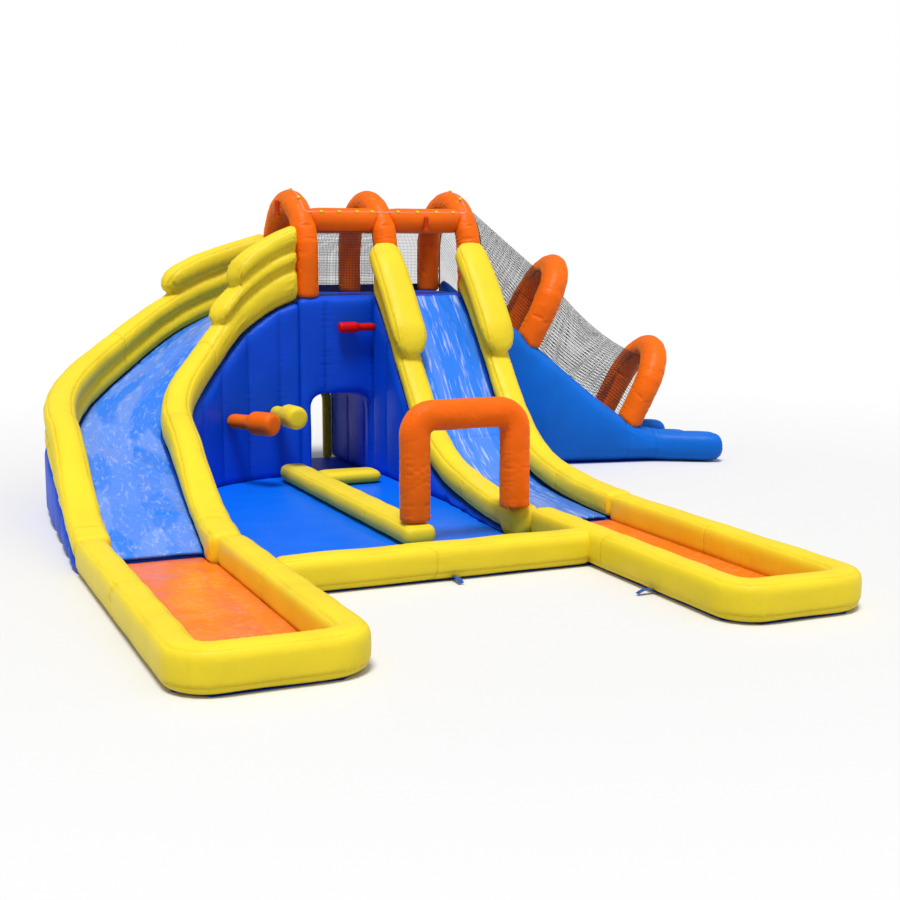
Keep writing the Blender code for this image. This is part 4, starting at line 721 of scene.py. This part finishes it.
def body_relief(run, pitch, first, swell=0.018, seed=0.0):
    """Relief of a tall blue side: upright seams with the fabric swelling between them."""

    def relief(points, normals):
        along = run(points)
        side = np.clip(1 - np.abs(normals[:, 2]) * 1.6, 0, 1)
        phase = (along - first) / pitch
        away = (phase - np.round(phase)) * pitch
        pillow = swell * (np.cos(np.pi * (phase - np.floor(phase) - 0.5)) ** 0.7 - 0.3)
        out = unevenness(points, 0.003, 0.9)
        out += side * (pillow + seam(away, points[:, 2], seed, depth=0.9, folds=1.2, reach=0.07, line=0.014))
        return out

    return relief


YELLOW_SLOT, ORANGE_SLOT, BLUE_SLOT = "yellow_fabric", "orange_fabric", "blue_fabric"


def floor_relief(pitch, height=0.004):
    def relief(points, normals):
        return np.clip(normals[:, 2], 0, 1) * unevenness(points, height, pitch)

    return relief


def pleats(points, normals):
    """Fine uneven pleats that run away from the front, where the floor is sewn to its beams."""
    q = from_plan(points)
    x, y = q[:, 0], q[:, 1]
    fan = x + 0.05 * np.sin(2.1 * y + 3 * x)
    fine = np.maximum(0, np.sin(2 * np.pi * fan / 0.085 + 1.5 * np.sin(fan * 11))) ** 3
    fine *= 0.5 + 0.5 * np.sin(3.1 * y + 9 * x)
    front = np.exp(-((y - 2.1) / 0.5) ** 2)
    return np.clip(normals[:, 2], 0, 1) * (0.0032 * fine * (0.45 + front) + unevenness(points, 0.004, 0.7))


def build_pools():
    for side, seed, middle in (("left", 0.0, 0.515), ("right", 3.0, 3.48)):
        def around(points, middle=middle):
            q = from_plan(points)
            return np.where(q[:, 1] < 0.3, q[:, 0], np.sign(q[:, 0] - middle) * q[:, 1])

        inflated(side + "_pool_wall", "yellow", YELLOW_SLOT,
                 wall_relief(around, 0.10, (0.55, 1.9), panels=(-1.45, 1.45), seed=seed), reach=(1, 0.0, 0.02))
        inflated(side + "_pool_floor", "pool", "orange_floor", floor_relief(0.4), relax=2, reach=(0, 0.014, 0.014))
    inflated("front_bumper", "yellow", YELLOW_SLOT, wall_relief(level_run, 0.11, (0.55, 1.9), (3.55,), 2.0),
             reach=(0, 0.03, 0.03))


def build_court():
    inflated("court_floor", "court", BLUE_SLOT, pleats, relax=2)
    inflated("divider_beam", "yellow", YELLOW_SLOT, wall_relief(level_run, 0.10, (0.6,), (5.2, 6.4), 3.0))
    inflated("doorway_step", "yellow", YELLOW_SLOT, wall_relief(level_run, 0.10, (0.6,), (), 3.4))

    def gate_run(points):
        q = from_plan(points)
        return np.where(q[:, 2] > GATE_SHOULDER, q[:, 0], np.sign(q[:, 0] - GATE_MIDDLE_X) * q[:, 2])

    inflated("gate_arch", "orange", ORANGE_SLOT, arch_relief(gate_run, (0, 1, 0), 0.09, 1.0, 0.6, at=0.8),
             grain=0.012, held=side_seams((0, 1, 0), 0.09, at=0.8), growth=0.005)


def build_curved_slide():
    inflated("curved_slide_body", "blue", BLUE_SLOT,
             sewn(body_relief(curved_run, 0.46, 0.2), ("curved_inner_rail", "curved_outer_wall", "court_floor"),
                  curved_run), grain=0.024, hollow=True)
    lane_sheet("curved_slide_lane", curved_run, "curved_lane", "slick_blue_fabric", ribs=(1.3, 2.7, 3.9))
    for nodes, ends in (
        (("curved_inner_rail", "curved_inner_step", "curved_inner_cheek"), ((0.76, 0.09), (1.04, 0.10), (0.04, 0.07))),
        (("curved_outer_wall", "curved_outer_lower", "curved_outer_cheek"), ((0.76, 0.10), (0.04, 0.07)))):
        inflated(nodes, "yellow", YELLOW_SLOT,
                 wall_relief(curved_run, 0.11, (0.75, 2.0), (1.25, 2.6, 4.1), len(nodes[0]) * 0.7,
                             across=curved_across, ends=ends), relax=6, swell=0.006)


def build_straight_slide():
    inflated("straight_slide_body", "blue", BLUE_SLOT,
             sewn(body_relief(straight_run, 0.42, 0.3), ("straight_rail_left", "straight_rail_right", "court_floor"),
                  straight_run), grain=0.022, hollow=True)
    lane_sheet("straight_slide_lane", straight_run, "straight_lane", "slick_blue_fabric", ribs=(1.5,))
    for side in ("left", "right"):
        inflated(("straight_rail_" + side, "straight_cheek_" + side), "yellow", YELLOW_SLOT,
                 wall_relief(straight_run, 0.11, (0.75, 1.9), (1.9,), 1.0, across=(1, 0, 0),
                             ends=((0.62, 0.09), (0.05, 0.06))), relax=6, swell=0.006)


def build_tower():
    def tower_run(points):
        q = from_plan(points)
        return np.where(np.abs(q[:, 1] - ARCH_MIDDLE_Y) > 0.5, q[:, 0], q[:, 1])

    low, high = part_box("tower_body")[0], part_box("tower_deck")[1]
    piece = box("tower_body_fabric", (low + high) / 2, high - low)
    # The tunnel is cut by a box whose lower half is under the ground.
    bore = box("tunnel_cutter", plan(TUNNEL_MIDDLE_X, ARCH_MIDDLE_Y), (TUNNEL_WIDTH, 1.4, 2 * TUNNEL_HEIGHT))
    modify(bore, "BEVEL", width=0.12, segments=5)
    modify(piece, "BEVEL", width=0.05, segments=3)
    modify(piece, "BOOLEAN", operation="DIFFERENCE", object=bore, solver="EXACT")
    bpy.data.objects.remove(bore)
    modify(piece, "REMESH", mode="VOXEL", voxel_size=0.022)
    modify(piece, "SMOOTH", factor=0.5, iterations=12)
    finish_inflated(piece, body_relief(tower_run, 0.43, 2.56, swell=0.014, seed=2.0), "blue", BLUE_SLOT,
                    "tower_body", "tower_deck")
    inflated("tunnel_rim", "yellow", YELLOW_SLOT, grain=0.012)
    dress(node_copy("tower_baffle", "tower_baffle_fabric"), "blue", BLUE_SLOT, "tower_baffle")


def build_loops():
    def loop_run(points):
        q = from_plan(points)
        y, z = q[:, 1] - ARCH_MIDDLE_Y, q[:, 2] - ARCH_SPRING
        angle = np.arctan2(np.maximum(z, 0), y)
        return np.where(z < 0, np.sign(y) * (z - 1), ARCH_RADIUS * angle + 3)

    for k, side in enumerate(("left", "middle", "right")):
        inflated("tower_arch_" + side, "orange", ORANGE_SLOT, arch_relief(loop_run, (1, 0, 0), 0.10, k),
                 grain=0.012, held=side_seams((1, 0, 0)), growth=0.022, swell=0.006)
    for node in ("front_crossbar_left", "front_crossbar_right", "rear_crossbar_left", "rear_crossbar_right"):
        inflated(node, "orange", ORANGE_SLOT, wall_relief(level_run, 0.09, (0.1,), (), 1.0, folds=0.4), grain=0.015,
                 swell=0.02)


def ramp_arch_middle(foot, height):
    """Middle between the feet of a loop of the ramp, in the plan."""
    return RAMP_CORNER + RAMP_ALONG * foot + RAMP_ACROSS * RAMP_WIDTH / 2 + Vector((0, 0, height))


def build_ramp():
    for node, outward in (("ramp_wall_near", -1), ("ramp_wall_far", 1)):
        inflated(node, "ramp_blue", BLUE_SLOT,
                 wall_relief(ramp_run, 0.13, (0.6,), (1.34, 1.62), 2.0, across=tuple(RAMP_ACROSS),
                             ends=((1.42, 0.10), (1.56, 0.10), (2.2, 0.08)), swell=ramp_swell(outward)))
    inflated("ramp_landing", "ramp_blue", BLUE_SLOT, floor_relief(0.4))
    inflated("ramp_steps", "yellow", YELLOW_SLOT, floor_relief(0.3, 0.002), grain=0.015, relax=4)
    inflated("ramp_body", "ramp_blue", BLUE_SLOT,
             sewn(None, ("ramp_wall_near", "ramp_wall_far", "ramp_landing"), ramp_run), grain=0.024, hollow=True)
    side = RAMP_ACROSS.cross(RAMP_ARCH_RISE).normalized()
    for node, (foot, height) in zip(("ramp_arch_upper", "ramp_arch_lower"), RAMP_ARCHES):
        def arch_run(points, middle=np.array(ramp_arch_middle(foot, height))):
            q = from_plan(points) - middle
            across, up = q @ np.array(RAMP_ACROSS), q @ np.array(RAMP_ARCH_RISE) - (RAMP_ARCH_REACH - RAMP_ARCH_RADIUS)
            angle = np.arctan2(np.maximum(up, 0), across)
            return np.where(up < 0, np.sign(across) * (up - 1), RAMP_ARCH_RADIUS * angle + 3)

        inflated(node, "orange", ORANGE_SLOT, arch_relief(arch_run, side, 0.10, foot), grain=0.012,
                 held=side_seams(side), growth=0.022, swell=0.022)


def build_pegs():
    for node, finish, slot in (
        ("orange_peg", "orange", ORANGE_SLOT), ("yellow_peg", "yellow", YELLOW_SLOT), ("red_peg", "red", "red_fabric")):
        inflated(node, finish, slot, None, grain=0.008 if node == "red_peg" else 0.012, relax=4)


def sheet_of(rows, name):
    """A grid laid on rows of points, with its map in metres."""
    rows = [[Vector(point) for point in row] for row in rows]
    across, along = len(rows[0]), len(rows)
    bpy.ops.mesh.primitive_grid_add(x_subdivisions=across - 1, y_subdivisions=along - 1, size=1)
    piece = bpy.context.object
    piece.name = piece.data.name = name
    bpy.ops.object.transform_apply(location=True, rotation=True, scale=True)
    reach = [0.0]
    for first, second in zip(rows, rows[1:]):
        reach.append(reach[-1] + (second[across // 2] - first[across // 2]).length)
    chart = {}
    for j, row in enumerate(rows):
        step = 0.0
        for i, point in enumerate(row):
            if i:
                step += (point - row[i - 1]).length
            piece.data.vertices[j * across + i].co = point
            chart[j * across + i] = (step, reach[j])
    layer = piece.data.uv_layers.active.data
    for loop in piece.data.loops:
        layer[loop.index].uv = chart[loop.vertex_index]
    piece.data.update()
    return piece


def lane_edges(node, run):
    """The two upper edges of a lane's node, from the tower down."""
    source = node_copy(node, node + "_source")
    points, _ = surface(source.data)
    tops = {corner for face in source.data.polygons if face.normal.z > 0.25 for corner in face.vertices}
    bpy.data.objects.remove(source)
    points = points[np.array(sorted(tops))]
    far = run(points)
    order = np.argsort(far)
    points, far = points[order], far[order]
    stations, start = [], 0
    for i in range(1, len(points) + 1):
        if i == len(points) or far[i] - far[start] > 0.03:
            stations.append(points[start:i])
            start = i
    left, right = [], []
    for row in stations:
        pair = np.linalg.norm(row[:, None] - row[None], axis=2)
        a, b = np.unravel_index(pair.argmax(), pair.shape)
        if pair[a, b] < 0.3:
            continue
        a, b = Vector(row[a]), Vector(row[b])
        if left and (a - left[-1]).length > (b - left[-1]).length:
            a, b = b, a
        left.append(a)
        right.append(b)
    return left, right


def lane_relief(chart, ribs):
    """Relief of a slick sheet by its own map: long folds, slanting wrinkles, gathered edges and sewn ribs."""

    def relief(points, normals):
        u, v = chart.T
        edge = np.minimum(u, u.max() - u)
        wander = 0.06 * np.sin(v * 3.1 + 1.0) + 0.03 * np.sin(v * 7.3)
        long_folds = np.abs(np.sin(2 * np.pi * (u + wander) / 0.19)) ** 0.7
        long_folds *= 0.5 + 0.5 * np.sin(v * 2.3 + 5 * u)
        slant = np.maximum(0, np.sin(2 * np.pi * (0.8 * v + 0.45 * u + 0.05 * np.sin(9 * u)) / 0.31)) ** 3
        slant *= 0.5 + 0.5 * np.sin(11 * u + 1.7 * v)
        gather = np.exp(-((edge / 0.06) ** 2)) * ripple(v, 0.05, 2.0)
        out = -0.004 * long_folds + 0.0035 * slant - 0.004 * gather
        for rib in ribs:
            out -= 0.010 * np.exp(-(((v - rib) / 0.012) ** 2))
            out += 0.004 * np.exp(-((np.abs(v - rib) / 0.05) ** 2)) * ripple(u, 0.045, rib)
        return out - 0.010 * (1 - np.clip(edge / 0.05, 0, 1)) ** 2

    return relief


def lane_sheet(node, run, finish, slot, ribs=(), step=0.014, thickness=0.018):
    """A lane's slick sheet: a fine grid between the two upper edges of its node, wrinkled along its run."""
    left, right = lane_edges(node, run)
    rows = int(sum((b - a).length for a, b in zip(left, left[1:])) / step)
    left, right = even(left, rows), even(right, rows)
    columns = int((left[0] - right[0]).length / step)
    grid = [[a.lerp(b, i / columns) for i in range(columns + 1)] for a, b in zip(left, right)]
    if grid[0][0].z > grid[-1][0].z and (grid[0][-1] - grid[0][0]).cross(grid[1][0] - grid[0][0]).z < 0:
        grid = [row[::-1] for row in grid]
    piece = sheet_of(grid, node + "_sheet")
    chart = np.zeros((len(piece.data.vertices), 2))
    layer = piece.data.uv_layers.active.data
    for loop in piece.data.loops:
        chart[loop.vertex_index] = layer[loop.index].uv
    emboss(piece, lane_relief(chart, ribs))
    modify(piece, "SOLIDIFY", thickness=thickness, offset=-1)
    dress(piece, finish, slot, node)


def net(rows, name, finish, node, rests_on):
    """A net on rows of points, held stretched: its flat size is that of the rows."""
    piece = sheet_of(rows, name)
    dress(piece, finish, "black_netting", node)


def half_turn(count):
    """Angles from pi down to 0."""
    return [math.radians(180 - 180 * i / (count - 1)) for i in range(count)]


def tower_net(node, first, second, side):
    """A net between two loops of the tower, from the deck up to a crossbar, in front (-1) or behind (1)."""
    left, right = ARCH_X[first] + ARCH_TUBE - 0.01, ARCH_X[second] - ARCH_TUBE + 0.01
    bottom, top = DECK_TOP + 0.004, CROSSBAR_HEIGHT - CROSSBAR_TUBE + 0.004
    rows = []
    for j in range(13):
        height = bottom + (top - bottom) * j / 12
        y = ARCH_MIDDLE_Y + side * math.sqrt(ARCH_RADIUS**2 - max(0, height - ARCH_SPRING) ** 2)
        rows.append([plan(left + (right - left) * i / 12, y, height) for i in range(13)])
    net(rows, node + "_mesh", "net", node, [node.replace("_net_", "_crossbar_")])


def canopy_rows():
    """Rows of points from the tower's right loop over the ramp's two loops. It sags between these."""
    x = TOWER_RIGHT + 0.009
    tower = [plan(x, ARCH_MIDDLE_Y + ARCH_RADIUS * math.cos(angle), ARCH_SPRING + ARCH_RADIUS * math.sin(angle))
             for angle in half_turn(33)]
    feet = [plan(x, ARCH_MIDDLE_Y + side * ARCH_RADIUS, DECK_TOP - 0.04) for side in (-1, 1)]
    lines = [[feet[0], *tower, feet[1]]]
    inner = RAMP_ARCH_RADIUS - ARCH_TUBE - 0.006
    for arch in RAMP_ARCHES:
        base = SITE + ramp_arch_middle(*arch)
        bow = [base + RAMP_ARCH_RISE * (RAMP_ARCH_REACH - RAMP_ARCH_RADIUS + inner * math.sin(angle))
               + RAMP_ACROSS * inner * math.cos(angle) for angle in half_turn(33)]
        feet = [base - RAMP_ARCH_RISE * 0.05 + RAMP_ACROSS * inner * side for side in (-1, 1)]
        lines.append([feet[0], *bow, feet[1]])
    lines = [even(line, 49) for line in lines]
    rows = []
    for first, second, steps, sag in ((lines[0], lines[1], 20, 0.0), (lines[1], lines[2], 28, 0.10)):
        for k in range(steps):
            drop = sag * math.sin(math.pi * k / steps)
            rows.append([a.lerp(b, k / steps) - Vector((0, 0, drop * math.sin(math.pi * j / 48)))
                         for j, (a, b) in enumerate(zip(first, second))])
    return rows + [lines[2]]


def build_nets():
    tower_net("front_net_left", 0, 1, -1)
    tower_net("rear_net_left", 0, 1, 1)
    tower_net("rear_net_right", 1, 2, 1)
    rows = canopy_rows()
    net(rows, "canopy_mesh", "canopy", "ramp_net", ["ramp_arch_upper", "ramp_arch_lower"])
    # Cords are bound into the canopy's two long edges and its ends.
    for k, line in enumerate(([row[0] for row in rows], [row[-1] for row in rows], rows[0], rows[-1])):
        dress(tube_along(line, 0.007, "canopy_cord_" + str(k), 2), "binding", "black_netting")


def even(points, count):
    """Points at equal spacing along a line."""
    steps = [0.0]
    for a, b in zip(points, points[1:]):
        steps.append(steps[-1] + (b - a).length)
    out = []
    for i in range(count):
        target = steps[-1] * i / (count - 1)
        k = min(max(j for j in range(len(steps)) if steps[j] <= target + 1e-9), len(points) - 2)
        out.append(points[k].lerp(points[k + 1], (target - steps[k]) / (steps[k + 1] - steps[k])))
    return out


def tube_along(points, radius, name, rounding):
    """A round cord along points, as a mesh."""
    data = bpy.data.curves.new(name, "CURVE")
    data.dimensions = "3D"
    data.bevel_depth = radius
    data.bevel_resolution = rounding
    data.use_fill_caps = True
    line = data.splines.new("POLY")
    line.points.add(len(points) - 1)
    for spot, point in zip(line.points, points):
        spot.co = (*point, 1)
    activate(linked(name, data))
    bpy.ops.object.convert(target="MESH")
    return bpy.context.object


def band(middle, axis, radius, width, thickness, name):
    """A flat loop of webbing round an axis."""
    turn = Vector(axis).to_track_quat("Z", "Y")
    form = bmesh.new()
    rings = []
    for far, along in ((radius, -0.5), (radius + thickness, -0.5), (radius + thickness, 0.5), (radius, 0.5)):
        spots = [Vector((far * math.cos(math.tau * i / 16), far * math.sin(math.tau * i / 16), along * width))
                 for i in range(16)]
        rings.append([form.verts.new(middle + turn @ spot) for spot in spots])
    for a, b in zip(rings, rings[1:] + rings[:1]):
        for i in range(16):
            j = (i + 1) % 16
            form.faces.new((a[i], a[j], b[j], b[i]))
    bmesh.ops.recalc_face_normals(form, faces=form.faces[:])
    mesh = bpy.data.meshes.new(name)
    form.to_mesh(mesh)
    form.free()
    return linked(name, mesh)


def over(x, angle):
    """A point of the hose's middle line over a loop of the tower, by its angle from level at the front."""
    lift = ARCH_RADIUS + ARCH_TUBE + HOSE_RADIUS + 0.0004
    return plan(x, ARCH_MIDDLE_Y - lift * math.cos(angle), ARCH_SPRING + lift * math.sin(angle))


def build_hose():
    """Clear sprinkler hose over the left loop, along the front crossbars and over the right loop."""
    bend = CROSSBAR_ANGLE
    left, right = ARCH_X[0], ARCH_X[2]
    start, end, turn = math.radians(98), math.radians(140), 0.04
    first = [over(left, start + (bend + 0.07 - start) * i / 12) for i in range(13)]
    last = [over(right, bend + 0.07 + (end - bend - 0.07) * i / 20) for i in range(21)]
    route = first
    for a, corner, b in (
        (first[-1], over(left, bend), over(left + turn, bend)), (over(right - turn, bend), over(right, bend), last[0])):
        route += [a.lerp(corner, t).lerp(corner.lerp(b, t), t) for t in [i / 8 for i in range(9)]]
    route += last
    clean = [route[0]]
    for point in route[1:]:
        if (point - clean[-1]).length > 0.002:
            clean.append(point)
    hose = dress(tube_along(clean, HOSE_RADIUS, "sprinkler_hose_tube", 3), "hose", "clear_hose", "sprinkler_hose")


def build_hose_loops():
    """Yellow loops that hold the hose on the tower's crossbars and arches."""
    spots = [(over(x, CROSSBAR_ANGLE), (1, 0, 0)) for x in HOSE_LOOP_X]
    spots += [(over(x, angle), (0, math.sin(angle), math.cos(angle)))
              for x in (ARCH_X[0], ARCH_X[2]) for angle in HOSE_LOOP_TURNS]
    for k, (middle, axis) in enumerate(spots):
        dress(band(middle, axis, 0.009, 0.030, 0.005, "hose_loop_" + str(k)), "yellow", YELLOW_SLOT)


def build_tabs():
    """Blue webbing tabs at the foot of the beams, for ground pegs."""
    for k, (x, y, turn) in enumerate(TABS):
        angle = math.radians(turn)
        out = Vector((math.cos(angle), math.sin(angle), 0))
        side = Vector((-out.y, out.x, 0))
        rows = []
        for share in [i / 6 for i in range(7)]:
            middle = plan(x, y, 0.012 + 0.02 * math.sin(share * math.pi)) + out * (0.13 * share - 0.045)
            rows.append([middle + side * (0.035 * (j / 4 - 0.5)) for j in range(5)])
        tab = sheet_of(rows, "anchor_tab_" + str(k))
        modify(tab, "SOLIDIFY", thickness=0.003, offset=0)
        dress(tab, "webbing", "blue_fabric")


def build_deck_strip():
    """Dark strip of fabric that closes the net's foot at the back of the deck."""
    left, right = TOWER_LEFT + 0.12, ARCH_X[2]
    rows = []
    for j in range(5):
        y = TOWER_BACK - 0.03 + 0.012 * math.sin(j * math.pi / 4)
        rows.append([plan(left + (right - left) * i / 24, y, DECK_TOP - 0.03 + 0.093 * j / 4) for i in range(25)])
    strip = sheet_of(rows, "deck_strip")
    modify(strip, "SOLIDIFY", thickness=0.012, offset=0)
    modify(strip, "SUBSURF", levels=1, render_levels=1)
    dress(strip, "blue", BLUE_SLOT)


def build_hard_parts():
    """The hose, the small sewn parts, and finishes for the nodes that are shown as they are."""
    build_hose()
    build_hose_loops()
    build_tabs()
    build_deck_strip()
    for finish, nodes in (
        ("pouch", ("left_nozzle", "right_nozzle")),
        ("blue", ("ground_sheet", "inlet_sleeve")),
        ("shell", ("blower_housing_left", "blower_housing_right", "blower_handle", "blower_stand")),
        ("steel", ("blower_motor", "blower_impeller")),
        ("red", ("blower_switch",)),
    ):
        for node in nodes:
            paint(NODES[node], finish)


def build_stage():
    """A pale floor under a white sky, two lamps and the photograph's camera."""
    bpy.ops.mesh.primitive_plane_add(size=60, location=(0, 0, -0.001))
    floor = bpy.context.object
    floor.name = "studio_floor"
    made, tree, place = material("Studio floor", (0.8, 0.8, 0.8), 0.8)
    # Painted shade: the floor that the camera sees is greyer within 4 m of the middle, under and round the object, and
    # lightens out to 14 m.
    far = add(tree, "ShaderNodeVectorMath", {0: place}, operation="LENGTH").outputs["Value"]
    fade = add(tree, "ShaderNodeMapRange", {0: far, 1: 4.0, 2: 14.0}).outputs[0]
    shaded_floor = add(tree, "ShaderNodeMix", {0: fade, 6: (0.77, 0.77, 0.77, 1), 7: (0.88, 0.88, 0.88, 1)},
               data_type="RGBA").outputs[2]
    # The object gets less light back from the floor than the camera does, as on a lawn.
    ray = add(tree, "ShaderNodeLightPath").outputs
    plain = add(tree, "ShaderNodeMath", {0: ray["Is Camera Ray"], 1: ray["Is Glossy Ray"]},
                operation="MAXIMUM").outputs[0]
    tone = add(tree, "ShaderNodeMix", {0: plain, 6: (0.55, 0.55, 0.55, 1), 7: shaded_floor}, data_type="RGBA").outputs[2]
    floor.data.materials.append(drive(made, Base_Color=tone))
    scene = bpy.context.scene
    scene.world = bpy.data.worlds.new("Studio")
    scene.world.use_nodes = True
    tree = scene.world.node_tree
    sky = tree.nodes["Background"]
    sky.inputs[0].default_value = (1, 1, 1, 1)
    sky.inputs[1].default_value = 0.36
    white = add(tree, "ShaderNodeBackground", {0: (1, 1, 1, 1), 1: 1.0}).outputs[0]
    ray = add(tree, "ShaderNodeLightPath").outputs
    mix = add(tree, "ShaderNodeMixShader", {0: ray["Is Camera Ray"], 1: sky.outputs[0], 2: white}).outputs[0]
    tree.links.new(mix, tree.nodes["World Output"].inputs[0])
    for name, energy, angle, turn in LAMPS:
        data = bpy.data.lights.new(name, "SUN")
        data.energy = energy
        data.angle = math.radians(angle)
        linked(name, data).rotation_euler = [math.radians(v) for v in turn]
    data = bpy.data.cameras.new("camera")
    data.sensor_fit = "HORIZONTAL"
    data.sensor_width = 36
    data.lens = 56
    data.clip_end = 200
    scene.camera = linked("camera", data)
    scene.camera.location = plan(*CAMERA_PLACE)
    level = math.cos(CAMERA_PITCH)
    look = Vector((math.sin(CAMERA_YAW) * level, math.cos(CAMERA_YAW) * level, -math.sin(CAMERA_PITCH)))
    scene.camera.rotation_euler = look.to_track_quat("-Z", "Y").to_euler()
    scene.view_settings.view_transform = "Standard"


# Operators and panel


class ParkStep:
    """What every step has: it stays in the panel's redo box and can be undone."""

    bl_options = {"REGISTER", "UNDO"}


class PARK_OT_pools(ParkStep, bpy.types.Operator):
    """Splash pools and the front bumper"""

    bl_idname = "park.pools"
    bl_label = "Splash pools"

    def execute(self, context):
        build_pools()
        return {"FINISHED"}


class PARK_OT_court(ParkStep, bpy.types.Operator):
    """Court floor, divider, step and gate"""

    bl_idname = "park.court"
    bl_label = "Play court"

    def execute(self, context):
        build_court()
        return {"FINISHED"}


class PARK_OT_curved_slide(ParkStep, bpy.types.Operator):
    """Body, lane and stacked walls of the curved slide"""

    bl_idname = "park.curved_slide"
    bl_label = "Curved slide"

    def execute(self, context):
        build_curved_slide()
        return {"FINISHED"}


class PARK_OT_straight_slide(ParkStep, bpy.types.Operator):
    """Body, lane, rails and cheeks of the straight slide"""

    bl_idname = "park.straight_slide"
    bl_label = "Straight slide"

    def execute(self, context):
        build_straight_slide()
        return {"FINISHED"}


class PARK_OT_tower(ParkStep, bpy.types.Operator):
    """Tower body with its crawl tunnel and deck"""

    bl_idname = "park.tower"
    bl_label = "Tower"

    def execute(self, context):
        build_tower()
        return {"FINISHED"}


class PARK_OT_loops(ParkStep, bpy.types.Operator):
    """Orange loops and crossbars over the deck"""

    bl_idname = "park.loops"
    bl_label = "Tower loops"

    def execute(self, context):
        build_loops()
        return {"FINISHED"}


class PARK_OT_ramp(ParkStep, bpy.types.Operator):
    """Side walls, steps, landing and loops of the ramp"""

    bl_idname = "park.ramp"
    bl_label = "Climbing ramp"

    def execute(self, context):
        build_ramp()
        return {"FINISHED"}


class PARK_OT_pegs(ParkStep, bpy.types.Operator):
    """Three soft pegs on the court's walls"""

    bl_idname = "park.pegs"
    bl_label = "Pegs"

    def execute(self, context):
        build_pegs()
        return {"FINISHED"}


class PARK_OT_nets(ParkStep, bpy.types.Operator):
    """Tower nets and the canopy over the ramp"""

    bl_idname = "park.nets"
    bl_label = "Netting"

    def execute(self, context):
        build_nets()
        return {"FINISHED"}


class PARK_OT_hard_parts(ParkStep, bpy.types.Operator):
    """Blower, hose, nozzles and ground sheet"""

    bl_idname = "park.hard_parts"
    bl_label = "Blower and hose"

    def execute(self, context):
        build_hard_parts()
        return {"FINISHED"}


class PARK_OT_stage(ParkStep, bpy.types.Operator):
    """Floor, lights and camera"""

    bl_idname = "park.stage"
    bl_label = "Studio"

    def execute(self, context):
        build_stage()
        return {"FINISHED"}


OPERATORS = (
    PARK_OT_pools, PARK_OT_court, PARK_OT_curved_slide, PARK_OT_straight_slide, PARK_OT_tower, PARK_OT_loops,
    PARK_OT_ramp, PARK_OT_pegs, PARK_OT_nets, PARK_OT_hard_parts, PARK_OT_stage)


class PARK_PT_panel(bpy.types.Panel):
    """Lists the steps that build the water park."""

    bl_label = "Water Park"
    bl_idname = "PARK_PT_panel"
    bl_space_type = "VIEW_3D"
    bl_region_type = "UI"
    bl_category = "Water Park"

    def draw(self, context):
        for operator in OPERATORS:
            self.layout.operator(operator.bl_idname)
        for group in (context.scene.park_colours, context.scene.park_sizes):
            for name in group.__annotations__:
                self.layout.prop(group, name)


CLASSES = (ParkColours, ParkSizes, *OPERATORS, PARK_PT_panel)


def register():
    for item in CLASSES:
        bpy.utils.register_class(item)
    bpy.types.Scene.park_colours = bpy.props.PointerProperty(type=ParkColours)
    bpy.types.Scene.park_sizes = bpy.props.PointerProperty(type=ParkSizes)


def unregister():
    del bpy.types.Scene.park_sizes
    del bpy.types.Scene.park_colours
    for item in reversed(CLASSES):
        bpy.utils.unregister_class(item)


def main():
    register()
    mix_finishes()
    for operator in OPERATORS:
        getattr(bpy.ops.park, operator.bl_idname.split(".")[1])()


if __name__ == "__main__":
    main()
